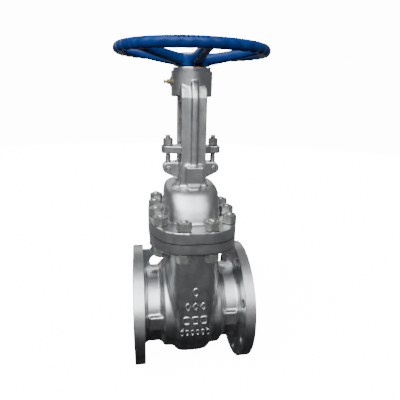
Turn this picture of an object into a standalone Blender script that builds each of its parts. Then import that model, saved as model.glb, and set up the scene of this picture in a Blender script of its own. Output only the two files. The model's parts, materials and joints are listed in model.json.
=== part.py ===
"""Flanged gate valve with an outside screw and yoke, nominal size 6 inch, pressure class 150.

Frame: X runs along the pipe, inlet to outlet, Y from the front of the valve to its back, and Z up along
the stem. The origin is where the pipe's axis meets the stem's. The valve is shut.
All sizes below are in millimetres; MM turns them into Blender's metres when a mesh is made.
"""

import math

import bmesh
import bpy
from mathutils import Matrix, Vector

MM = 0.001
GAP = 0.3                       # left between pieces that touch

# Pipe flanges, the standard ones for this size and pressure class
BORE_R = 76.2
FLANGE_R = 139.7
FACE_X = 133.35                 # half the face-to-face length
RAISED_FACE = 1.6
RAISED_FACE_R = 107.95
FLANGE_BACK_X = FACE_X - 25.4
BOLT_CIRCLE_R = 120.65
BOLT_HOLE_R = 11.1
BOLT_HOLES = 8

# Body casting
BARREL_R = 90.0
CHAMBER_R = 118.0               # outside of the wedge chamber, front to back and round the bottom
CHAMBER_WALL = 12.0
CHAMBER_HALF_X = 58.0           # at the neck; the chamber narrows to WAIST_HALF_X below it
WAIST_HALF_X = 49.0
NECK_INSET_Y = 6.0              # how much slimmer the neck is than the chamber, front and back
SEAT_BULGE_R = 103.0
SEAT_BULGE_X = 64.0
WEB_HALF_Y = 3.5
WEB_TOP_Z = 139.0
WEB_HOLE_X = 77.0
WEB_HOLE_Z = 108.5
WEB_HOLE_R = 16.5
PAD_X = 83.0
PAD_HALF = 16.8
PAD_FACE_Y = -97.0

# Seats and wedge
WEDGE_TAPER = math.tan(math.radians(5.0))
WEDGE_HALF_X = 26.0             # half its thickness on the pipe's axis
WEDGE_R = 84.0
SLIT_HALF = 4.5                 # the slit round the wedge's rim, which lets its two faces flex
SLIT_IN_R = 42.0
SEAT_OUT_R = 86.0
SEAT_BACK_X = 45.7
SEAT_BOSS_R = 98.0
GUIDE_HALF_X = 6.0
GUIDE_IN_Y = 88.0
GUIDE_LOW_Z = -21.0
SLOT_BLOCK_HALF_X = 24.0        # the block on the wedge's top that hangs from the stem
SLOT_BLOCK_HALF_Y = 33.0
SLOT_TOP_Z = 110.0
HEAD_LOW_Z = 88.0               # the stem's T-shaped end, in its slot in the wedge
HEAD_TOP_Z = 100.0
HEAD_HALF_X = 18.0
HEAD_HALF_Y = 22.0
HEAD_NECK_R = 10.0
SHOULDER_R = 18.0               # seals against the backseat bushing when the valve is open
SHOULDER_TOP_Z = 114.7

# Bonnet joint
JOINT_HALF_X = 95.0
JOINT_HALF_Y = 147.0
JOINT_POWER = 3.0               # of the superellipse that outlines the joint's flanges
BODY_JOINT_LOW_Z = 183.0
BODY_JOINT_TOP_Z = 206.4
GASKET_TOP_Z = 207.9
BONNET_LOW_Z = 208.2
BONNET_FLANGE_TOP_Z = 231.3
STUD_PLACES = ((28.7, 130.2), (72.3, 90.2), (79.1, 30.1))
STUD_R = 7.9
STUD_HOLE_R = 9.0
STUD_LOW_Z = 160.0
STUD_TOP_Z = 255.0
NUT_ACROSS = 27.0
NUT_HEIGHT = 19.0
NUT_TURN = 17.0                 # degrees from one tightened nut to the next

# Bonnet and yoke casting
DOME_HALF_X = 60.0
DOME_HALF_Y = 103.0
DOME_WALL = 11.0
DOME_POWER = 3.2
DOME_TOP_Z = 291.0
# The dome's leaning ends and rounded shoulder: each level's depth below its top, and how far it draws
# in there, across the pipe and along it from front to back
DOME_SHOULDER = ((56.0, 0.0, 0.0), (33.0, 0.0, 7.0), (18.0, 0.8, 13.5), (10.0, 3.0, 19.0), (4.5, 7.5, 25.5),
                 (1.2, 13.5, 33.0), (0.0, 21.0, 42.0))
CHAMBER_ROOF_Z = DOME_TOP_Z - DOME_WALL
STUFFING_R = 33.0
STUFFING_TOP_Z = 348.0
PACKING_R = 22.4
EAR_PIN_X = 49.8
EAR_PIN_Z = 334.2
EAR_R = 12.7
EAR_IN_Y = 7.5
EAR_OUT_Y = 16.0
EAR_ROOT_X = 32.0
EAR_ROOT_Z = 312.0
EAR_SLOT_IN_X = 34.5
EAR_SLOT_LOW_Z = 305.0
ARM_HALF_X = 26.0
ARM_IN_Y = 41.0
ARM_OUT_Y = 51.0
RIB_HALF_X = 5.4
RIB_OUT_Y = 62.0
FOOT_HALF_X = 16.5
FOOT_OUT_Y = 77.0
FOOT_LOW_Z = 313.0
FOOT_TOP_Z = 346.0
FOOT_ROOT_HALF_X = 19.0
FOOT_ROOT_OUT_Y = 63.0
# The (y, z) outlines of the arm's and the rib's slanted tops, where they run into the hub
ARM_TIP = ((24.0, 484.0), (51.0, 476.0), (50.2, 484.0), (47.5, 494.0), (43.0, 502.0), (37.0, 508.0),
           (24.0, 508.0))
RIB_TIP = ((24.0, 484.0), (62.0, 474.0), (61.0, 486.0), (57.5, 498.0), (51.5, 509.0), (43.0, 518.0),
           (24.0, 518.0))
HUB_R = 43.4
HUB_LOW_Z = 485.0
HUB_TOP_Z = 536.6

# Stem and its drive
STEM_R = 14.0
STEM_TOP_Z = 572.5
SLEEVE_R = 23.0
SLEEVE_NECK_R = 26.7
SLEEVE_WHEEL_R = 22.0
COLLAR_R = 33.0
COLLAR_LOW_Z = 520.3
COLLAR_TOP_Z = 530.5
RETAINER_R = 39.5
RETAINER_TOP_Z = 543.2
WHEEL_LOW_Z = 546.0
WHEEL_HUB_TOP_Z = 564.0
WHEEL_HUB_R = 36.5
RIM_CENTRE_R = 150.65
RIM_CENTRE_Z = 575.7
RIM_HALF_WIDTH = 9.35
RIM_HALF_HEIGHT = 10.4
SPOKES = 6
FIRST_SPOKE_DEG = -85.0
SPOKE_HALF_WIDTH = 11.5
KEY_HALF = 4.0
WHEEL_NUT_R = 32.0
GREASE_Z = 514.5
GREASE_BORE_R = 4.2
SCREW_X = 38.0                  # the retainer's set screw
SCREW_HOLE_R = 2.4
SCREW_LOW_Z = 533.0

# Gland
RING_R = 22.0
RING_IN_R = 14.5
PACKING_RINGS = 4
PACKING_LOW_Z = 306.9
RING_HEIGHT = 7.0
GLAND_FLANGE_LOW_Z = 366.3
GLAND_FLANGE_TOP_Z = 382.0
# A quarter of the gland flange's outline, from its waist to its tip
GLAND_OUTLINE = ((22.0, 27.0), (42.0, 17.5), (58.0, 16.0), (64.0, 10.0))
GLAND_HEAD_R = 27.0
EYEBOLT_R = 5.8
EYEBOLT_TOP_Z = 405.5
EYE_R = 11.3
EYE_HALF_Y = 6.6
PIN_R = 5.2
GLAND_NUT_ACROSS = 19.0
GLAND_NUT_TOP_Z = 398.0
GLAND_NUT_TURNS = {"left": 0.0, "right": 30.0}    # degrees, as they were tightened

STEEL_GREY = (0.30, 0.30, 0.31)
MACHINED = (0.55, 0.55, 0.56)
BOLT_GREY = (0.24, 0.25, 0.26)
BLUE = (0.01, 0.07, 0.25)
BRONZE = (0.50, 0.32, 0.14)
BRASS = (0.62, 0.48, 0.20)
GRAPHITE = (0.05, 0.05, 0.055)


# ---- materials and meshes -------------------------------------------------------------------------------

def material(name, colour, roughness, metallic):
    """A Principled material; a name asked for twice gives the same material."""
    made = bpy.data.materials.get(name)
    if made is None:
        made = bpy.data.materials.new(name)
        made.use_nodes = True
        shader = made.node_tree.nodes["Principled BSDF"]
        shader.inputs["Base Color"].default_value = (*colour, 1.0)
        shader.inputs["Roughness"].default_value = roughness
        shader.inputs["Metallic"].default_value = metallic
    return made


def cast_steel():
    return material("cast_steel", STEEL_GREY, 0.45, 0.7)


def machined_steel():
    return material("machined_steel", MACHINED, 0.3, 1.0)


def bolt_steel():
    return material("bolt_steel", BOLT_GREY, 0.4, 0.9)


def wheel_paint():
    return material("wheel_paint", BLUE, 0.3, 0.0)


def bronze():
    return material("bronze", BRONZE, 0.35, 1.0)


def brass():
    return material("brass", BRASS, 0.3, 1.0)


def graphite():
    return material("graphite", GRAPHITE, 0.6, 0.2)


def solid(shape):
    """Turn a bmesh given in millimetres into an object, its faces pointing out."""
    bmesh.ops.remove_doubles(shape, verts=shape.verts, dist=0.001)
    bmesh.ops.recalc_face_normals(shape, faces=shape.faces)
    bmesh.ops.scale(shape, vec=(MM, MM, MM), verts=shape.verts)
    mesh = bpy.data.meshes.new("part")
    shape.to_mesh(mesh)
    shape.free()
    made = bpy.data.objects.new("part", mesh)
    bpy.context.scene.collection.objects.link(made)
    return made


def loft(rings):
    """Skin a stack of outlines that all have the same number of points, and cap both ends."""
    shape = bmesh.new()
    rows = [[shape.verts.new(point) for point in ring] for ring in rings]
    count = len(rows[0])
    for low, high in zip(rows, rows[1:]):
        for i in range(count):
            j = (i + 1) % count
            shape.faces.new((low[i], low[j], high[j], high[i]))
    shape.faces.new(rows[0])
    shape.faces.new(rows[-1])
    bmesh.ops.triangulate(shape, faces=[face for face in shape.faces if is_bent(face)])
    return solid(shape)


def is_bent(face):
    """Whether a four-sided face is out of flat, which would upset a boolean."""
    if len(face.verts) != 4:
        return False
    a, b, c, d = (vert.co for vert in face.verts)
    normal = (c - a).cross(d - b)
    return normal.length > 0 and abs((b - a).dot(normal.normalized())) > 0.0005


def turn_to(axis):
    """The rotation that takes +Z to the named axis."""
    quarter = math.pi / 2
    turns = {"Z": Matrix(), "X": Matrix.Rotation(quarter, 4, "Y"), "Y": Matrix.Rotation(-quarter, 4, "X")}
    return turns[axis]


def turned(profile, axis="Z", centre=(0, 0, 0), segments=24):
    """Spin a closed (radius, height) profile about an axis through centre; a radius of 0 makes a pole."""
    shape = bmesh.new()
    place = Matrix.Translation(centre) @ turn_to(axis)
    columns = []
    for radius, height in profile:
        if radius == 0:
            columns.append([shape.verts.new(place @ Vector((0, 0, height)))] * segments)
        else:
            angles = (math.tau * i / segments for i in range(segments))
            columns.append([shape.verts.new(place @ Vector((*at_angle(radius, a), height))) for a in angles])
    for low, high in zip(columns, columns[1:] + columns[:1]):
        for i in range(segments):
            j = (i + 1) % segments
            corners = list(dict.fromkeys((low[i], low[j], high[j], high[i])))
            if len(corners) > 2:
                shape.faces.new(corners)
    return solid(shape)


def cylinder(radius, low, high, axis="Z", centre=(0, 0, 0), segments=24):
    """A solid cylinder from low to high along an axis through centre."""
    turn = turn_to(axis)
    rings = []
    for height in (low, high):
        ring = [Vector((*at_angle(radius, math.tau * i / segments), height)) for i in range(segments)]
        rings.append([Vector(centre) + turn @ point for point in ring])
    return loft(rings)


def tube(inner, outer, low, high, axis="Z", segments=24):
    return turned([(inner, low), (outer, low), (outer, high), (inner, high)], axis, segments=segments)


def at_angle(radius, angle):
    return radius * math.cos(angle), radius * math.sin(angle)


def block(start, end):
    """A block between any two opposite corners."""
    (x0, x1), (y0, y1), (z0, z1) = (sorted(pair) for pair in zip(start, end))
    return prism([(x0, y0), (x1, y0), (x1, y1), (x0, y1)], z0, z1)


def prism(outline, low, high, axis="Z"):
    """An outline drawn in the plane square to the axis, pushed from low to high along it.

    The outline's two numbers are (x, y) for Z, (y, z) for X and (x, z) for Y.
    """
    places = {"Z": lambda a, b, h: (a, b, h), "X": lambda a, b, h: (h, a, b), "Y": lambda a, b, h: (a, h, b)}
    return loft([[places[axis](a, b, h) for a, b in outline] for h in (low, high)])


def superellipse(half_x, half_y, power, count=40):
    """Points of |x/half_x|^power + |y/half_y|^power = 1."""
    points = []
    for i in range(count):
        angle = math.tau * (i + 0.5) / count
        across, along = math.cos(angle), math.sin(angle)
        points.append((half_x * math.copysign(abs(across) ** (2 / power), across),
                       half_y * math.copysign(abs(along) ** (2 / power), along)))
    return points


def hexagon(across, turn=0.0):
    return [at_angle(across / math.sqrt(3), math.radians(turn) + math.pi * i / 3) for i in range(6)]


def combine(target, others, operation):
    """Cut or join with exact booleans, close up specks narrower than 2 microns, and drop the other solids."""
    for other in others:
        change = target.modifiers.new(operation.lower(), "BOOLEAN")
        change.operation = operation
        change.solver = "EXACT"
        change.object = other
        bpy.context.view_layer.update()
        seen = target.evaluated_get(bpy.context.evaluated_depsgraph_get())
        result = bpy.data.meshes.new_from_object(seen)
        target.modifiers.clear()
        shape = bmesh.new()
        shape.from_mesh(result)
        bmesh.ops.remove_doubles(shape, verts=shape.verts, dist=0.002 * MM)
        bmesh.ops.dissolve_degenerate(shape, edges=shape.edges, dist=0.002 * MM)
        shape.to_mesh(result)
        shape.free()
        target.data = result
        bpy.data.objects.remove(other)
    return target


def join(target, *others):
    return combine(target, others, "UNION")


def cut(target, *others):
    return combine(target, others, "DIFFERENCE")


def keep(target, *others):
    return combine(target, others, "INTERSECT")


def finish(made, name, look, origin=(0, 0, 0)):
    """Name a piece, give it its material and set its origin, in millimetres, where its joint is."""
    made.name = name
    made.data.name = name
    made.data.materials.clear()
    made.data.materials.append(look)
    for face in made.data.polygons:
        face.material_index = 0
    place = Vector(origin) * MM
    made.data.transform(Matrix.Translation(-place))
    made.location = place
    made.data.shade_smooth()
    made.data.set_sharp_from_angle(angle=math.radians(35))
    return made


# ---- body -----------------------------------------------------------------------------------------------

def smooth_step(value, start, end):
    """Rise smoothly from 0 at start to 1 at end."""
    share = min(1.0, max(0.0, (value - start) / (end - start)))
    return share * share * (3.0 - 2.0 * share)


def chamber_ring(z, radius, wall):
    """The wedge chamber's outline at height z, radius front to back, thinned by wall across the pipe."""
    half_x = WAIST_HALF_X + (CHAMBER_HALF_X - WAIST_HALF_X) * smooth_step(z, -20.0, 80.0)
    if z < -20.0:
        half_x *= 1.0 - 0.35 * ((-z - 20.0) / (CHAMBER_R - 20.0)) ** 4
    half_y = radius - NECK_INSET_Y * smooth_step(z, 80.0, 140.0)
    if z < 0.0:
        half_y = math.sqrt(radius ** 2 - z ** 2)
    return [(x, y, z) for x, y in superellipse(half_x - wall, half_y, 4.0, 24)]


def chamber(levels, radius, wall):
    return loft([chamber_ring(z, radius, wall) for z in levels])


def wedge_space(half_x):
    """The tapered slab between the seats, half_x from its middle on the pipe's axis."""
    reach = 150.0
    corners = ((-1, -reach), (1, -reach), (1, reach), (-1, reach))
    return prism([(side * (half_x + WEDGE_TAPER * z), z) for side, z in corners], -reach, reach, "Y")


def pipe_run():
    """Both end flanges with their raised faces, the barrels, and the bulge over the seats."""
    half = [(SEAT_BULGE_R, SEAT_BULGE_X), (BARREL_R, SEAT_BULGE_X + 9.0), (BARREL_R, FLANGE_BACK_X - 9.0),
            (BARREL_R + 9.0, FLANGE_BACK_X), (FLANGE_R, FLANGE_BACK_X), (FLANGE_R, FACE_X - RAISED_FACE),
            (RAISED_FACE_R, FACE_X - RAISED_FACE), (RAISED_FACE_R, FACE_X), (0, FACE_X)]
    return turned([(radius, -x) for radius, x in reversed(half)] + half, "X", segments=40)


def flange_holes(side):
    """The eight bolt holes, straddling the flange's upright centre line."""
    holes = []
    for i in range(BOLT_HOLES):
        y, z = at_angle(BOLT_CIRCLE_R, math.tau * (i + 0.5) / BOLT_HOLES)
        ends = sorted((side * (FLANGE_BACK_X - 5.0), side * (FACE_X + 5.0)))
        holes.append(cylinder(BOLT_HOLE_R, *ends, "X", (0, y, z), 8))
    return holes


def lifting_web(side):
    """The plate between a flange's back, the barrel and the neck, before its hole is cut."""
    neck, flange, low, high = 45.0, FLANGE_BACK_X + 4.0, 70.0, BODY_JOINT_LOW_Z + 7.0
    outline = [(neck, low), (flange, low), (flange, WEB_TOP_Z), (94.0, WEB_TOP_Z), (90.0, WEB_TOP_Z + 4.0),
               (89.0, high), (neck, high)]
    return prism([(side * x, z) for x, z in outline], -WEB_HALF_Y, WEB_HALF_Y, "Y")


def seat_boss(side):
    """The inside ring that carries a seat, its face cut to the wedge's taper."""
    ends = sorted((side * 12.0, side * 52.0))
    return cut(cylinder(SEAT_BOSS_R, *ends, "X"), wedge_space(WEDGE_HALF_X + 4.0))


def stud_places():
    """The bonnet studs' (x, y), going round the joint."""
    places = [(sx * x, sy * y) for sy in (-1, 1) for sx in (-1, 1) for x, y in STUD_PLACES]
    return sorted(places, key=lambda place: math.atan2(place[1], place[0]))


def stud_holes(low, high):
    """Cutters for the studs' holes through a flange between two heights."""
    past = 4.0
    return [cylinder(STUD_HOLE_R, low - past, high + past, "Z", (x, y, 0), 8) for x, y in stud_places()]


def make_body():
    outer_levels = (-117.0, -111.0, -97.0, -75.0, -50.0, -25.0, 0.0, 40.0, 80.0, 140.0,
                    BODY_JOINT_LOW_Z + 3.0)
    inner_levels = (-104.0, -94.0, -70.0, -40.0, 0.0, 40.0, 80.0, 140.0, BODY_JOINT_TOP_Z + 5.0)
    body = chamber(outer_levels, CHAMBER_R, 0.0)
    joint = prism(superellipse(JOINT_HALF_X, JOINT_HALF_Y, JOINT_POWER), BODY_JOINT_LOW_Z, BODY_JOINT_TOP_Z)
    pads = [block((x - PAD_HALF, PAD_FACE_Y, -PAD_HALF), (x + PAD_HALF, PAD_FACE_Y + 37.0, PAD_HALF))
            for x in (-PAD_X, PAD_X)]
    join(body, pipe_run(), lifting_web(-1), lifting_web(1), joint, *pads)
    space = chamber(inner_levels, CHAMBER_R - CHAMBER_WALL, CHAMBER_WALL - 1.0)
    guides = [block((-GUIDE_HALF_X, side * GUIDE_IN_Y, GUIDE_LOW_Z),
                    (GUIDE_HALF_X, side * (GUIDE_IN_Y + 22.0), BODY_JOINT_TOP_Z - 4.0)) for side in (-1, 1)]
    cut(space, *guides, seat_boss(-1), seat_boss(1))
    cut(body, space)
    past = 15.0
    web_holes = [cylinder(WEB_HOLE_R, -past, past, "Y", (side * WEB_HOLE_X, 0, WEB_HOLE_Z), 24)
                 for side in (-1, 1)]
    cut(body, cylinder(BORE_R, -FACE_X - past, FACE_X + past, "X", segments=40),
        cylinder(SEAT_OUT_R + GAP, -SEAT_BACK_X - GAP, SEAT_BACK_X + GAP, "X", segments=40),
        *flange_holes(-1), *flange_holes(1), *web_holes, *stud_holes(BODY_JOINT_LOW_Z, BODY_JOINT_TOP_Z))
    finish(body, "body", cast_steel())


def make_seat_rings():
    for side, name in ((-1, "seat_ring_inlet"), (1, "seat_ring_outlet")):
        low, high = sorted((side * 10.0, side * SEAT_BACK_X))
        ring = tube(BORE_R, SEAT_OUT_R, low, high, "X", 40)
        cut(ring, wedge_space(WEDGE_HALF_X + GAP))
        finish(ring, name, machined_steel())


# ---- wedge and stem -------------------------------------------------------------------------------------

def make_wedge():
    """The two-faced disc, slit round its rim, with the stem's slot on top and a guide slot at each edge."""
    wedge = keep(cylinder(WEDGE_R, -60.0, 60.0, "X", segments=40), wedge_space(WEDGE_HALF_X))
    cut(wedge, tube(SLIT_IN_R, WEDGE_R + 10.0, -SLIT_HALF, SLIT_HALF, "X"))
    ears = [block((-15.0, side * 78.0, -28.0), (15.0, side * 98.0, 44.0)) for side in (-1, 1)]
    join(wedge, block((-SLOT_BLOCK_HALF_X, -SLOT_BLOCK_HALF_Y, 72.0),
                      (SLOT_BLOCK_HALF_X, SLOT_BLOCK_HALF_Y, SLOT_TOP_Z)), *ears)
    guide_half = GUIDE_HALF_X + 1.0
    guides = [block((-guide_half, side * (GUIDE_IN_Y - 2.0), -40.0), (guide_half, side * 106.0, 60.0))
              for side in (-1, 1)]
    past = 40.0
    head_half, neck_half = HEAD_HALF_Y + 1.0, HEAD_NECK_R + 1.5
    cut(wedge, block((-past, -head_half, HEAD_LOW_Z - 0.6), (past, head_half, HEAD_TOP_Z + 0.4)),
        block((-past, -neck_half, HEAD_TOP_Z - 2.0), (past, neck_half, SLOT_TOP_Z + 5.0)), *guides)
    finish(wedge, "wedge", machined_steel())


def make_stem():
    """Neck, backseat shoulder and the long shank, over the T-shaped head."""
    neck_low = HEAD_TOP_Z - 2.0
    chamfer = 2.0
    profile = [(0, neck_low), (HEAD_NECK_R, neck_low), (HEAD_NECK_R, SLOT_TOP_Z + 0.8),
               (SHOULDER_R, SHOULDER_TOP_Z - 2.5), (SHOULDER_R, SHOULDER_TOP_Z - 1.5),
               (STEM_R, SHOULDER_TOP_Z), (STEM_R, STEM_TOP_Z - chamfer), (STEM_R - chamfer, STEM_TOP_Z), (0, STEM_TOP_Z)]
    stem = turned(profile, segments=32)
    join(stem, block((-HEAD_HALF_X, -HEAD_HALF_Y, HEAD_LOW_Z), (HEAD_HALF_X, HEAD_HALF_Y, HEAD_TOP_Z)))
    finish(stem, "stem", machined_steel())


# ---- bonnet and yoke ------------------------------------------------------------------------------------

def dome(low, wall):
    """The dome from its low end up over its shoulder, drawn in by wall all round for its inside."""
    rows = [(low, 0.0, 0.0)] + [(DOME_TOP_Z - wall - below, *insets) for below, *insets in DOME_SHOULDER]
    return loft([[(x, y, z) for x, y in superellipse(DOME_HALF_X - wall - across, DOME_HALF_Y - wall - along,
                                                     DOME_POWER, 24)] for z, across, along in rows])


def ear_plate(side, front):
    """One plate of a fork that holds an eyebolt, round about its pin."""
    outline = [(20.0, 300.0), (20.0, EAR_PIN_Z + EAR_R)]
    for i in range(11):
        x, z = at_angle(EAR_R, math.radians(90.0 - 15.0 * i))
        outline.append((EAR_PIN_X + x, EAR_PIN_Z + z))
    outline.append((EAR_ROOT_X, EAR_ROOT_Z))
    ends = sorted((front * EAR_IN_Y, front * EAR_OUT_Y))
    return prism([(side * x, z) for x, z in outline], *ends, "Y")


def yoke_arm(front):
    """A flat arm with a rib down its outside, their slanted tops at the hub, and the square foot below."""
    def slab(half_x, inner, outer, low, high):
        return block((-half_x, front * inner, low), (half_x, front * outer, high))

    dome_in = DOME_TOP_Z - 6.0
    inner = 24.0
    foot = slab(FOOT_HALF_X, inner, FOOT_OUT_Y, FOOT_LOW_Z, FOOT_TOP_Z)
    root_rows = ((dome_in, FOOT_ROOT_HALF_X, FOOT_ROOT_OUT_Y),
                 (FOOT_LOW_Z + 3.0, FOOT_HALF_X - 1.0, FOOT_OUT_Y - 3.0))
    foot_root = loft([[(-half, front * inner, z), (half, front * inner, z), (half, front * outer, z),
                       (-half, front * outer, z)] for z, half, outer in root_rows])
    shoulder = slab(ARM_HALF_X, 8.0, ARM_OUT_Y, dome_in - 1.0, STUFFING_TOP_Z - 4.0)
    arm = slab(ARM_HALF_X, ARM_IN_Y, ARM_OUT_Y, 302.0, 486.0)
    rib = slab(RIB_HALF_X, ARM_IN_Y, RIB_OUT_Y, 310.0, 480.0)
    arm_tip = prism([(front * y, z) for y, z in ARM_TIP], -ARM_HALF_X, ARM_HALF_X, "X")
    rib_tip = prism([(front * y, z) for y, z in RIB_TIP], -RIB_HALF_X, RIB_HALF_X, "X")
    return [foot, foot_root, shoulder, arm, rib, arm_tip, rib_tip]


def make_bonnet_yoke():
    bonnet = dome(BONNET_FLANGE_TOP_Z - 4.0, 0.0)
    flange = prism(superellipse(JOINT_HALF_X, JOINT_HALF_Y, JOINT_POWER), BONNET_LOW_Z, BONNET_FLANGE_TOP_Z)
    grease_boss = turned([(0, -46.5), (7.0, -46.5), (11.5, -40.0), (11.5, -30.0), (0, -30.0)],
                         "X", (0, 0, GREASE_Z), 20)
    ears = [ear_plate(side, front) for side in (-1, 1) for front in (-1, 1)]
    join(bonnet, flange, cylinder(STUFFING_R, DOME_TOP_Z - 8.0, STUFFING_TOP_Z),
         cylinder(HUB_R, HUB_LOW_Z, HUB_TOP_Z), *yoke_arm(-1), *yoke_arm(1), *ears, grease_boss)
    past = 5.0
    above_hub = HUB_TOP_Z + past
    pin_holes = [cylinder(PIN_R + GAP, -20.0, 20.0, "Y", (side * EAR_PIN_X, 0, EAR_PIN_Z), 20)
                 for side in (-1, 1)]
    eye_slots = [block((side * EAR_SLOT_IN_X, -EAR_IN_Y, EAR_SLOT_LOW_Z), (side * 66.0, EAR_IN_Y, 350.0))
                 for side in (-1, 1)]
    cut(bonnet, dome(BONNET_LOW_Z - past, DOME_WALL),
        cylinder(PACKING_R, CHAMBER_ROOF_Z - past, STUFFING_TOP_Z + past),
        cylinder(SLEEVE_R + GAP, HUB_LOW_Z - past, COLLAR_LOW_Z + past),
        cylinder(COLLAR_R + GAP, COLLAR_LOW_Z - GAP, COLLAR_TOP_Z + GAP + 1.0),
        cylinder(RETAINER_R - 3.2, COLLAR_TOP_Z + GAP, above_hub),
        cylinder(GREASE_BORE_R, -60.0, -20.0, "X", (0, 0, GREASE_Z), 12),
        cylinder(SCREW_HOLE_R, SCREW_LOW_Z - 1.0, above_hub, "Z", (SCREW_X, 0, 0), 10),
        *pin_holes, *eye_slots, *stud_holes(BONNET_LOW_Z, BONNET_FLANGE_TOP_Z))
    finish(bonnet, "bonnet_yoke", cast_steel())


def make_bonnet_gasket():
    low, high = BODY_JOINT_TOP_Z + GAP, GASKET_TOP_Z
    gasket = prism(superellipse(64.0, 119.0, 3.2), low, high)
    cut(gasket, prism(superellipse(51.0, 107.5, 3.6), low - 5.0, high + 5.0))
    finish(gasket, "bonnet_gasket", graphite())


def make_bonnet_studs():
    """Twelve studs, each with its lower nut, and the twelve nuts above the bonnet's flange."""
    lower_nut_top = BODY_JOINT_LOW_Z - GAP
    upper_nut_low = BONNET_FLANGE_TOP_Z + GAP
    upper_nut_top = upper_nut_low + NUT_HEIGHT
    for i, (x, y) in enumerate(stud_places(), 1):
        outline = [(x + a, y + b) for a, b in hexagon(NUT_ACROSS, NUT_TURN * i)]
        stud = cylinder(STUD_R, STUD_LOW_Z, STUD_TOP_Z, "Z", (x, y, 0), 10)
        join(stud, prism(outline, lower_nut_top - NUT_HEIGHT, lower_nut_top))
        finish(stud, f"bonnet_stud_{i:02d}", bolt_steel())
        nut = prism(outline, upper_nut_low, upper_nut_top)
        cut(nut, cylinder(STUD_R + 2 * GAP, upper_nut_low - 5.0, upper_nut_top + 5.0, "Z", (x, y, 0), 10))
        finish(nut, f"bonnet_nut_{i:02d}", bolt_steel())


# ---- packing and gland ----------------------------------------------------------------------------------

def make_packing():
    """The backseat bushing at the foot of the stuffing box, and the packing rings that stand on it."""
    low, flange_top, top = CHAMBER_ROOF_Z - 2.8, CHAMBER_ROOF_Z - GAP, PACKING_LOW_Z - GAP
    flange_r = 26.0
    seat = turned([(RING_IN_R, low), (flange_r, low), (flange_r, flange_top), (RING_R, flange_top),
                   (RING_R, top), (RING_IN_R, top)])
    finish(seat, "backseat_bushing", machined_steel())
    for i in range(PACKING_RINGS):
        low = PACKING_LOW_Z + i * (RING_HEIGHT + GAP)
        ring = tube(RING_IN_R, RING_R, low, low + RING_HEIGHT, segments=24)
        finish(ring, f"packing_ring_{i + 1}", graphite())


def make_gland():
    """The follower that presses on the packing, and the flange that the eyebolts pull down on it."""
    nose_low = PACKING_LOW_Z + PACKING_RINGS * (RING_HEIGHT + GAP)
    head_low, head_top = STUFFING_TOP_Z + 4.0, GLAND_FLANGE_LOW_Z - GAP
    chamfer = 3.0
    gland = turned([(RING_IN_R, nose_low), (RING_R, nose_low), (RING_R, head_low),
                    (GLAND_HEAD_R, head_low), (GLAND_HEAD_R, head_top - chamfer),
                    (GLAND_HEAD_R - chamfer, head_top), (RING_IN_R, head_top)])
    finish(gland, "gland_follower", machined_steel())
    right = [(x, -y) for x, y in GLAND_OUTLINE] + [(x, y) for x, y in reversed(GLAND_OUTLINE)]
    flange = prism(right + [(-x, -y) for x, y in right], GLAND_FLANGE_LOW_Z, GLAND_FLANGE_TOP_Z)
    past = 5.0
    low, high = GLAND_FLANGE_LOW_Z - past, GLAND_FLANGE_TOP_Z + past
    slot_half = EYEBOLT_R + 0.9
    slots = [block((side * EAR_PIN_X, -slot_half, low), (side * 80.0, slot_half, high)) for side in (-1, 1)]
    ends = [cylinder(slot_half, low - 1.0, high + 1.0, "Z", (side * EAR_PIN_X, 0, 0), 20) for side in (-1, 1)]
    cut(flange, cylinder(STEM_R + 1.2, low, high), *slots, *ends)
    finish(flange, "gland_flange", cast_steel())


def make_eyebolts():
    nut_low = GLAND_FLANGE_TOP_Z + GAP
    for side, word in ((-1, "left"), (1, "right")):
        x = side * EAR_PIN_X
        pivot = (x, 0, EAR_PIN_Z)
        chamfer = 1.6
        bolt = turned([(0, EAR_PIN_Z), (EYEBOLT_R, EAR_PIN_Z), (EYEBOLT_R, EYEBOLT_TOP_Z - chamfer),
                       (EYEBOLT_R - chamfer, EYEBOLT_TOP_Z), (0, EYEBOLT_TOP_Z)], "Z", (x, 0, 0), 14)
        join(bolt, cylinder(EYE_R, -EYE_HALF_Y, EYE_HALF_Y, "Y", pivot, 24))
        cut(bolt, cylinder(PIN_R + GAP, -12.0, 12.0, "Y", pivot, 16))
        finish(bolt, f"eyebolt_{word}", bolt_steel(), pivot)
        pin_end = EAR_OUT_Y + 1.4
        half = [(0, pin_end), (PIN_R - 1.0, pin_end), (PIN_R, pin_end - 1.0)]
        ends = [(radius, -y) for radius, y in half] + [(radius, y) for radius, y in reversed(half)]
        pin = turned(ends, "Y", pivot, 12)
        finish(pin, f"eyebolt_pin_{word}", bolt_steel())
        flats = [(x + a, b) for a, b in hexagon(GLAND_NUT_ACROSS, GLAND_NUT_TURNS[word])]
        nut = prism(flats, nut_low, GLAND_NUT_TOP_Z)
        cut(nut, cylinder(EYEBOLT_R + GAP, nut_low - 5.0, GLAND_NUT_TOP_Z + 5.0, "Z", (x, 0, 0), 14))
        finish(nut, f"gland_nut_{word}", bolt_steel(), (x, 0, nut_low))


# ---- yoke sleeve and handwheel --------------------------------------------------------------------------

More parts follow.
